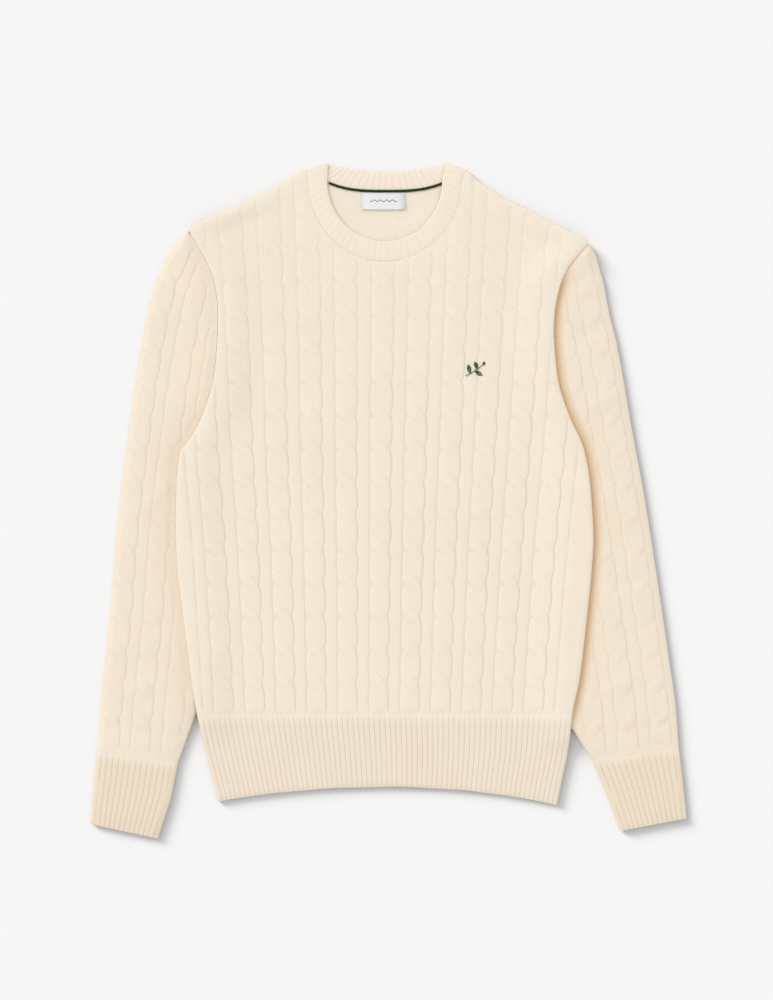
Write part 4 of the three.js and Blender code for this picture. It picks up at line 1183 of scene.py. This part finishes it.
def neckband():
    skin = Skin()
    frontSeam, frontFree, backSeam, backFree = neckLines()
    frontCount = band["steps"] * band["frontRibs"]
    backCount = band["steps"] * band["backRibs"]
    frontSeam, frontFree = alongLine(frontSeam, frontCount), alongLine(frontFree, frontCount)
    backSeam, backFree = alongLine(backSeam, backCount), alongLine(backFree, backCount)
    face, inside, wall = cloth["frontFace"], cloth["frontInside"], cloth["wall"]
    sections = []

    def corner(p, z):
        return np.array([p[0], p[1], z])

    def turn(seamStart, seamEnd, free, isFirst):
        for n in range(1, band["turnSteps"]):
            share = n / band["turnSteps"]
            angle = math.pi * (share if isFirst else 1 - share)
            seam = mix(seamStart, seamEnd, share)
            quad = []
            for p, rise, edge in ((seam, 0, "seam"), (free, band["freeRise"], "free")):
                outerRadius = face / 2 + rise / 2
                innerRadius = 0.4 + rise / 2
                out = band["bulge"][edge] * math.sin(angle)
                quad.append((
                    np.array([p[0], p[1] + outerRadius * out, outerRadius * (1 + math.cos(angle))]),
                    np.array([p[0], p[1] + innerRadius * out, outerRadius + innerRadius * math.cos(angle)]),
                ))
            sections.append((quad, "turn", (1 + math.cos(angle)) / 2))

    for n in range(frontCount + 1):
        quad = [
            (corner(frontSeam[n], face), corner(frontSeam[n], inside)),
            (corner(frontFree[n], face + band["freeRise"]), corner(frontFree[n], inside + band["freeRise"])),
        ]
        sections.append((quad, "front", n / band["steps"]))
    turn(frontSeam[-1], backSeam[0], frontFree[-1], True)
    for n in range(backCount + 1):
        quad = [
            (corner(backSeam[n], 0.0), corner(backSeam[n], wall)),
            (corner(backFree[n], 0.0), corner(backFree[n], wall)),
        ]
        sections.append((quad, "back", n / band["steps"]))
    turn(backSeam[-1], frontSeam[0], frontFree[0], False)

    rings = []
    levels = np.concatenate([[0, 0.006, 0.04, 0.1], np.linspace(0.2, 0.86, band["profile"]), [0.93, 0.98, 1.0]])
    across = np.sin(math.pi * levels)
    rounding = np.maximum(edgeRoll((1 - levels) * 31), 0.2 * edgeRoll(levels * 31))
    for quad, part, place in sections:
        (seamOuter, seamInner), (freeOuter, freeInner) = quad
        if part == "turn":
            ribs, paintedShade, share = 0.45 * band["rib"]["front"], 0.05, place
        else:
            ribs, paintedShade = ribWave(np.array(place), band["rib"][part], band["shade"][part])
            fromTurn = min(place, band["backRibs"] - place)
            share = float(smooth(fromTurn, 0, 1.5)) if part == "back" else 1.0
        outer = mix(seamOuter, freeOuter, levels[:, None])
        inner = mix(seamInner, freeInner, levels[:, None])
        normal = (outer - inner) / np.linalg.norm(outer - inner, axis=1)[:, None]
        keep = smooth(np.minimum(levels, 1 - levels), 0, 0.12)
        swell = share * (ribs * keep + band["crown"] * across - 0.7 * rounding)[:, None]
        # The visible face carries the ribs' painted shade (0.05 on the turns); the hidden face is painted in shade
        # (0.4)
        if part == "back":
            inner = inner - normal * (swell + 0.2 * share)
            ring = np.concatenate([inner, outer[::-3]])[::-1]
            shade = np.concatenate([np.full(len(inner), float(paintedShade)), np.full(len(outer[::-3]), 0.4)])[::-1]
        else:
            outer = outer + normal * swell
            ring = np.concatenate([outer, inner[::-3]])
            shade = np.concatenate([np.full(len(outer), float(paintedShade)), np.full(len(inner[::-3]), 0.4)])
        count = np.linspace(0, 1, len(ring))
        points = skin.row(ring[:, 0], ring[:, 1], ring[:, 2], shade, count)
        rings.append((points + [(points[0][0], 2.0)], part))
    for n, (ring, part) in enumerate(rings):
        following, _ = rings[(n + 1) % len(rings)]
        skin.sew(ring, following)
    return skin


def bandStitches(corners, middles):
    middle, top = neck["centre"]
    x, y = corners[:, 0] - middle, corners[:, 1] - top
    turn = np.arctan2(x, -y)
    away = np.hypot(x, y)
    isBack = (middles[:, 1] > 322) & (middles[:, 2] < 4.6)
    columns = np.where(isBack, corners[:, 0] / 6.6, turn / math.pi * band["frontRibs"])
    rows = np.where(isBack, corners[:, 1], away) / cloth["stitchRow"]
    return columns, rows


ribNeck = makeCloth("ribNeckband", neckband(), neckWool, bandStitches, "neckband")

# Herringbone tape over the back neck seam, cotton twill: matt, fine diagonal lines
tape = {"width": 2.8, "thickness": 0.6, "bottom": 3.7, "left": -63.0, "right": 57.5, "steps": 80}


def plainStrip(name, rows, material, node):
    skin = Skin()
    previous = None
    for index, (low, high, bottom, top) in enumerate(rows):
        share = np.linspace(0, 1, 6)
        xs, ys = mix(low[0], high[0], share), mix(low[1], high[1], share)
        round01 = np.sin(math.pi * np.clip(share, 0.0, 1.0)) ** 0.4
        upper = skin.row(xs, ys, mix(bottom + 0.5 * (top - bottom), top, round01), 0.0, share)
        under = skin.row(xs, ys, bottom, 0.4, share)
        if previous is not None:
            sewWall(skin, previous, {"upper": upper, "lower": under})
        row = {"upper": upper, "lower": under}
        if index in (0, len(rows) - 1):
            skin.sew(under, upper, index > 0)
        previous = row
    return makeCloth(name, skin, material, stripPlaces, node)


def stripPlaces(corners, middles):
    return corners[:, 0], corners[:, 1] - backNeckY(corners[:, 0])


def twill(name, thread, valleyShade):
    material = bpy.data.materials.new(name)
    material.use_nodes = True
    tree = material.node_tree
    shader = tree.nodes["Principled BSDF"]
    places = addNode(tree, "ShaderNodeUVMap", {}, uv_map="stitches").outputs[0]
    parts = addNode(tree, "ShaderNodeSeparateXYZ", {0: places})
    aside = addNode(tree, "ShaderNodeMath", {0: parts.outputs[1]}, operation="ABSOLUTE")
    diagonal = addNode(tree, "ShaderNodeMath", {0: parts.outputs[0], 1: aside.outputs[0]}, operation="ADD")
    # The real twill lines are 0.5 mm apart and are drawn 1.1 mm apart so that they show
    turn = addNode(tree, "ShaderNodeMath", {0: diagonal.outputs[0], 1: 2 * math.pi / 1.1}, operation="MULTIPLY")
    wave = addNode(tree, "ShaderNodeMath", {0: turn.outputs[0]}, operation="SINE")
    bump = addNode(tree, "ShaderNodeBump", {"Height": wave.outputs[0], "Distance": 0.15 * mm})
    tree.links.new(bump.outputs[0], shader.inputs["Normal"])
    # Painted shade: the valleys between the twill lines are painted darker than the thread
    factor = addNode(
        tree, "ShaderNodeMapRange", {"Value": wave.outputs[0], "From Min": -1.0, "From Max": 0.4}
    )
    colour = addNode(
        tree, "ShaderNodeMix", {"Factor": factor.outputs[0], 6: linear(valleyShade), 7: linear(thread)}, data_type="RGBA"
    )
    tree.links.new(colour.outputs[2], shader.inputs["Base Color"])
    shader.inputs["Roughness"].default_value = 0.8
    shader.inputs["Specular IOR Level"].default_value = 0.3
    return material


tapeRows = []
for x in np.linspace(tape["left"], tape["right"], tape["steps"] + 1):
    y = backNeckY(x)
    half = tape["width"] / 2
    tapeRows.append(((x, y - half), (x, y + half), tape["bottom"], tape["bottom"] + tape["thickness"]))
cottonTwill = twill("cotton herringbone tape", "#2A3E10", "#142008")
neckTape = plainStrip("twillNeckTape", tapeRows, cottonTwill, "neck_tape")

# Woven label of satin polyester, left without words: soft shine, fine threads across
label = {
    "left": -29.0, "right": 18.6, "top": 327.0, "bottom": 307.8,
    "thickness": 0.4, "rest": 2.95, "rise": 1.5, "steps": 14,
}


def satinLabel():
    material = bpy.data.materials.new("woven satin label")
    material.use_nodes = True
    tree = material.node_tree
    shader = tree.nodes["Principled BSDF"]
    objectPlace = addNode(tree, "ShaderNodeTexCoord", {}).outputs["Object"]
    # Weft threads are 0.15 mm apart and are drawn 0.8 mm apart so that they show
    threads = addNode(
        tree, "ShaderNodeTexWave", {"Vector": objectPlace, "Scale": 390.0, "Distortion": 0.6},
        wave_type="BANDS", bands_direction="Y",
    )
    parts = addNode(tree, "ShaderNodeSeparateXYZ", {0: objectPlace})
    middleX = (label["left"] + label["right"]) / 2 * mm
    middleY = (label["top"] + label["bottom"]) / 2 * mm
    across = addNode(tree, "ShaderNodeMath", {0: parts.outputs[0], 1: middleX}, operation="SUBTRACT")
    up = addNode(tree, "ShaderNodeMath", {0: parts.outputs[1], 1: middleY}, operation="SUBTRACT")
    sideways = addNode(tree, "ShaderNodeMath", {0: across.outputs[0]}, operation="ABSOLUTE")
    zigzagTurn = addNode(tree, "ShaderNodeMath", {0: across.outputs[0], 1: 1 / (3.2 * mm)}, operation="MULTIPLY")
    zigzag = addNode(tree, "ShaderNodeMath", {0: zigzagTurn.outputs[0], 1: 1.0}, operation="PINGPONG")
    line = addNode(
        tree, "ShaderNodeMath", {0: zigzag.outputs[0], 1: -2.2 * mm, 2: up.outputs[0]}, operation="MULTIPLY_ADD"
    )
    offset = addNode(tree, "ShaderNodeMath", {0: line.outputs[0], 1: 1.1 * mm}, operation="ADD")
    away = addNode(tree, "ShaderNodeMath", {0: offset.outputs[0]}, operation="ABSOLUTE")
    onLine = addNode(tree, "ShaderNodeMath", {0: away.outputs[0], 1: 0.45 * mm}, operation="LESS_THAN")
    inside = addNode(tree, "ShaderNodeMath", {0: sideways.outputs[0], 1: 14.4 * mm}, operation="LESS_THAN")
    motif = addNode(tree, "ShaderNodeMath", {0: onLine.outputs[0], 1: inside.outputs[0]}, operation="MULTIPLY")
    # Painted shade: the low parts of the weft threads are painted darker than their crowns
    base = addNode(
        tree, "ShaderNodeMix",
        {"Factor": threads.outputs["Fac"], 6: linear("#E3E3E6"), 7: linear("#F4F4F6")}, data_type="RGBA",
    )
    colour = addNode(
        tree, "ShaderNodeMix",
        {"Factor": motif.outputs[0], 6: base.outputs[2], 7: linear("#4A5A50")}, data_type="RGBA",
    )
    bump = addNode(tree, "ShaderNodeBump", {"Height": threads.outputs["Fac"], "Distance": 0.06 * mm})
    tree.links.new(bump.outputs[0], shader.inputs["Normal"])
    tree.links.new(colour.outputs[2], shader.inputs["Base Color"])
    shader.inputs["Roughness"].default_value = 0.45
    shader.inputs["Sheen Weight"].default_value = 0.2
    return material


labelRows = []
for share in np.linspace(0, 1, label["steps"] + 1):
    y = mix(label["bottom"], label["top"], share)
    z = label["rest"] + label["rise"] * max(0, 0.7 - share) ** 2 * 2
    labelRows.append(((label["left"], y), (label["right"], y), z, z + label["thickness"]))
neckLabel = plainStrip("wovenNeckLabel", labelRows, satinLabel(), "neck_label")
print("sweater: neckband, tape and label sewn")

# Embroidered sprig on the wearer's left chest: a stem, three leaves and a berry of satin stitch
sprig = {
    "centre": (91.0, 138.0),
    "stem": [(-9.5, -6.5), (-5, -4.5), (0, -1.5), (5, 2.0), (9.0, 5.5)],
    "leaves": [
        {"foot": (-4.5, -4.0), "tip": (-6.5, 5.5), "width": 5.0},
        {"foot": (0.5, -1.2), "tip": (9.0, -6.5), "width": 4.8},
        {"foot": (3.0, 1.0), "tip": (0.5, 8.5), "width": 4.4},
    ],
    "berry": {"centre": (10.2, 6.6), "radius": 1.9},
    "thread": 0.62,
    "rise": 1.5,
}


def threadBundle(name, lines, material):
    points, faces, places = [], [], []
    radius = sprig["thread"] / 2
    for start, end, base in lines:
        start, end = np.array(start, float), np.array(end, float)
        direction = (end - start) / max(1e-6, np.hypot(*(end - start)))
        side = np.array([-direction[1], direction[0]])
        first = len(points)
        stations = np.linspace(0, 1, 6)
        for t in stations:
            middle = mix(start, end, t)
            bow = base + sprig["rise"] * math.sin(math.pi * t) ** 0.5
            for angle in np.linspace(0, 2 * math.pi, 7)[:-1]:
                p = middle + side * radius * math.cos(angle)
                points.append((p[0] * mm, p[1] * mm, (bow + radius * math.sin(angle)) * mm))
        for k in range(5):
            for a in range(6):
                b = (a + 1) % 6
                low, high = first + 6 * k, first + 6 * (k + 1)
                faces.append((low + a, low + b, high + b, high + a))
        faces.append(tuple(first + a for a in range(5, -1, -1)))
        faces.append(tuple(first + 30 + a for a in range(6)))
    mesh = bpy.data.meshes.new(name)
    mesh.from_pydata(points, [], faces)
    if signedVolume(mesh) < 0:
        mesh.flip_normals()
    mesh.polygons.foreach_set("use_smooth", [True] * len(mesh.polygons))
    mesh.materials.append(material)
    piece = bpy.data.objects.new(name, mesh)
    bpy.context.scene.collection.objects.link(piece)
    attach(piece, "root")
    return piece


# Embroidery floss, mercerised cotton: a soft shine along each thread
def floss(name, light, dark):
    material = bpy.data.materials.new(name)
    material.use_nodes = True
    tree = material.node_tree
    shader = tree.nodes["Principled BSDF"]
    objectPlace = addNode(tree, "ShaderNodeTexCoord", {}).outputs["Object"]
    noise = addNode(tree, "ShaderNodeTexNoise", {"Vector": objectPlace, "Scale": 1100.0, "Detail": 2.0})
    colour = addNode(
        tree, "ShaderNodeMix", {"Factor": noise.outputs[0], 6: linear(dark), 7: linear(light)}, data_type="RGBA"
    )
    tree.links.new(colour.outputs[2], shader.inputs["Base Color"])
    shader.inputs["Roughness"].default_value = 0.5
    shader.inputs["Sheen Weight"].default_value = 0.3
    return material


def surfaceHeight(x, y):
    z, _ = frontUpper(np.array([x]), np.array([y]), np.array([50.0]))
    return float(z[0])


def sprigLines():
    cx, cy = sprig["centre"]
    leaves, berry = [], []
    base = surfaceHeight(cx, cy) - 0.6
    for leaf in sprig["leaves"]:
        foot, tip = np.array(leaf["foot"], float), np.array(leaf["tip"], float)
        axis = tip - foot
        length = np.hypot(*axis)
        side = np.array([-axis[1], axis[0]]) / length
        count = round(length / (sprig["thread"] * 0.8))
        for k in range(count + 1):
            t = k / count
            half = leaf["width"] / 2 * math.sin(math.pi * min(0.98, max(0.04, t ** 0.8)))
            middle = foot + axis * t
            slant = axis / length * half * 0.6
            for sign in (-1, 1):
                end = middle + sign * side * half + slant
                leaves.append((middle + (cx, cy), end + (cx, cy), base))
    stem = alongLine(sprig["stem"], 34)
    for a, b in zip(stem[:-1], stem[3:]):
        leaves.append((a + (cx, cy), b + (cx, cy), base + 0.2))
    middle = np.array(sprig["berry"]["centre"], float)
    radius = sprig["berry"]["radius"]
    for offset in np.arange(-radius, radius + 0.01, sprig["thread"] * 0.8):
        half = math.sqrt(max(0.05, radius ** 2 - offset ** 2))
        berry.append((middle + (cx - half, cy + offset), middle + (cx + half, cy + offset), base + 0.3))
    return leaves, berry


leafLines, berryLines = sprigLines()
sprigGreen = threadBundle("sprigLeaves", leafLines, floss("green embroidery floss", "#3C6A2B", "#1E3D17"))
sprigRed = threadBundle("sprigBerry", berryLines, floss("red embroidery floss", "#A3303A", "#6E1D26"))
print("sweater: sprig embroidered")

for side in ("left", "right"):
    spec = sleeves[side]
    sleeve, ending = sleevePieces[side]

# Studio: a pale floor, a soft white surround and one soft lamp from the upper left
studio = {
    "floor": 3.0,
    "lens": 100.0,
    "distance": 2.950,
    "centre": (-0.0021, 0.0),
    "world": 0.845,
    "lamps": [
        {"name": "softbox", "strength": 0.76, "from": (-1.0, 0.95, 1.15), "size": 28.0},
        {"name": "shadow lamp", "strength": 3.65, "from": (-1.0, 0.85, 0.56), "size": 20.0, "onlyFloor": True},
    ],
}
bpy.ops.object.select_all(action="DESELECT")
bpy.ops.mesh.primitive_plane_add(size=2 * studio["floor"], location=(0, 0, -0.0004))
floor = bpy.context.object
floor.name = "studioFloor"
paper = bpy.data.materials.new("matt white paper")
paper.use_nodes = True
grain = addNode(
    paper.node_tree, "ShaderNodeTexNoise",
    {"Vector": addNode(paper.node_tree, "ShaderNodeTexCoord", {}).outputs["Object"], "Scale": 400.0},
)
tone = addNode(
    paper.node_tree, "ShaderNodeMix",
    {"Factor": grain.outputs[0], 6: linear("#D0D0D0"), 7: linear("#D2D2D2")}, data_type="RGBA",
)
paperShader = paper.node_tree.nodes["Principled BSDF"]
paper.node_tree.links.new(tone.outputs[2], paperShader.inputs["Base Color"])
paperShader.inputs["Roughness"].default_value = 0.95
paperShader.inputs["Specular IOR Level"].default_value = 0.0
floor.data.materials.append(paper)

world = bpy.data.worlds.new("softbox surround")
world.use_nodes = True
world.node_tree.nodes["Background"].inputs["Color"].default_value = (1, 1, 1, 1)
world.node_tree.nodes["Background"].inputs["Strength"].default_value = studio["world"]
bpy.context.scene.world = world
for spec in studio["lamps"]:
    lamp = bpy.data.lights.new(spec["name"], "SUN")
    lamp.energy = spec["strength"]
    lamp.angle = math.radians(spec["size"])
    lampObject = bpy.data.objects.new(spec["name"], lamp)
    lampObject.rotation_euler = Vector(spec["from"]).to_track_quat("Z", "Y").to_euler()
    bpy.context.scene.collection.objects.link(lampObject)
    if spec.get("onlyFloor"):
        litByIt = bpy.data.collections.new("lit by the shadow lamp")
        litByIt.objects.link(floor)
        lampObject.light_linking.receiver_collection = litByIt
camera = bpy.data.cameras.new("camera")
camera.lens = studio["lens"]
cameraObject = bpy.data.objects.new("camera", camera)
cameraObject.location = (*studio["centre"], studio["distance"])
bpy.context.scene.collection.objects.link(cameraObject)
bpy.context.scene.camera = cameraObject
bpy.context.scene.view_settings.view_transform = "Standard"
print("sweater: studio set")
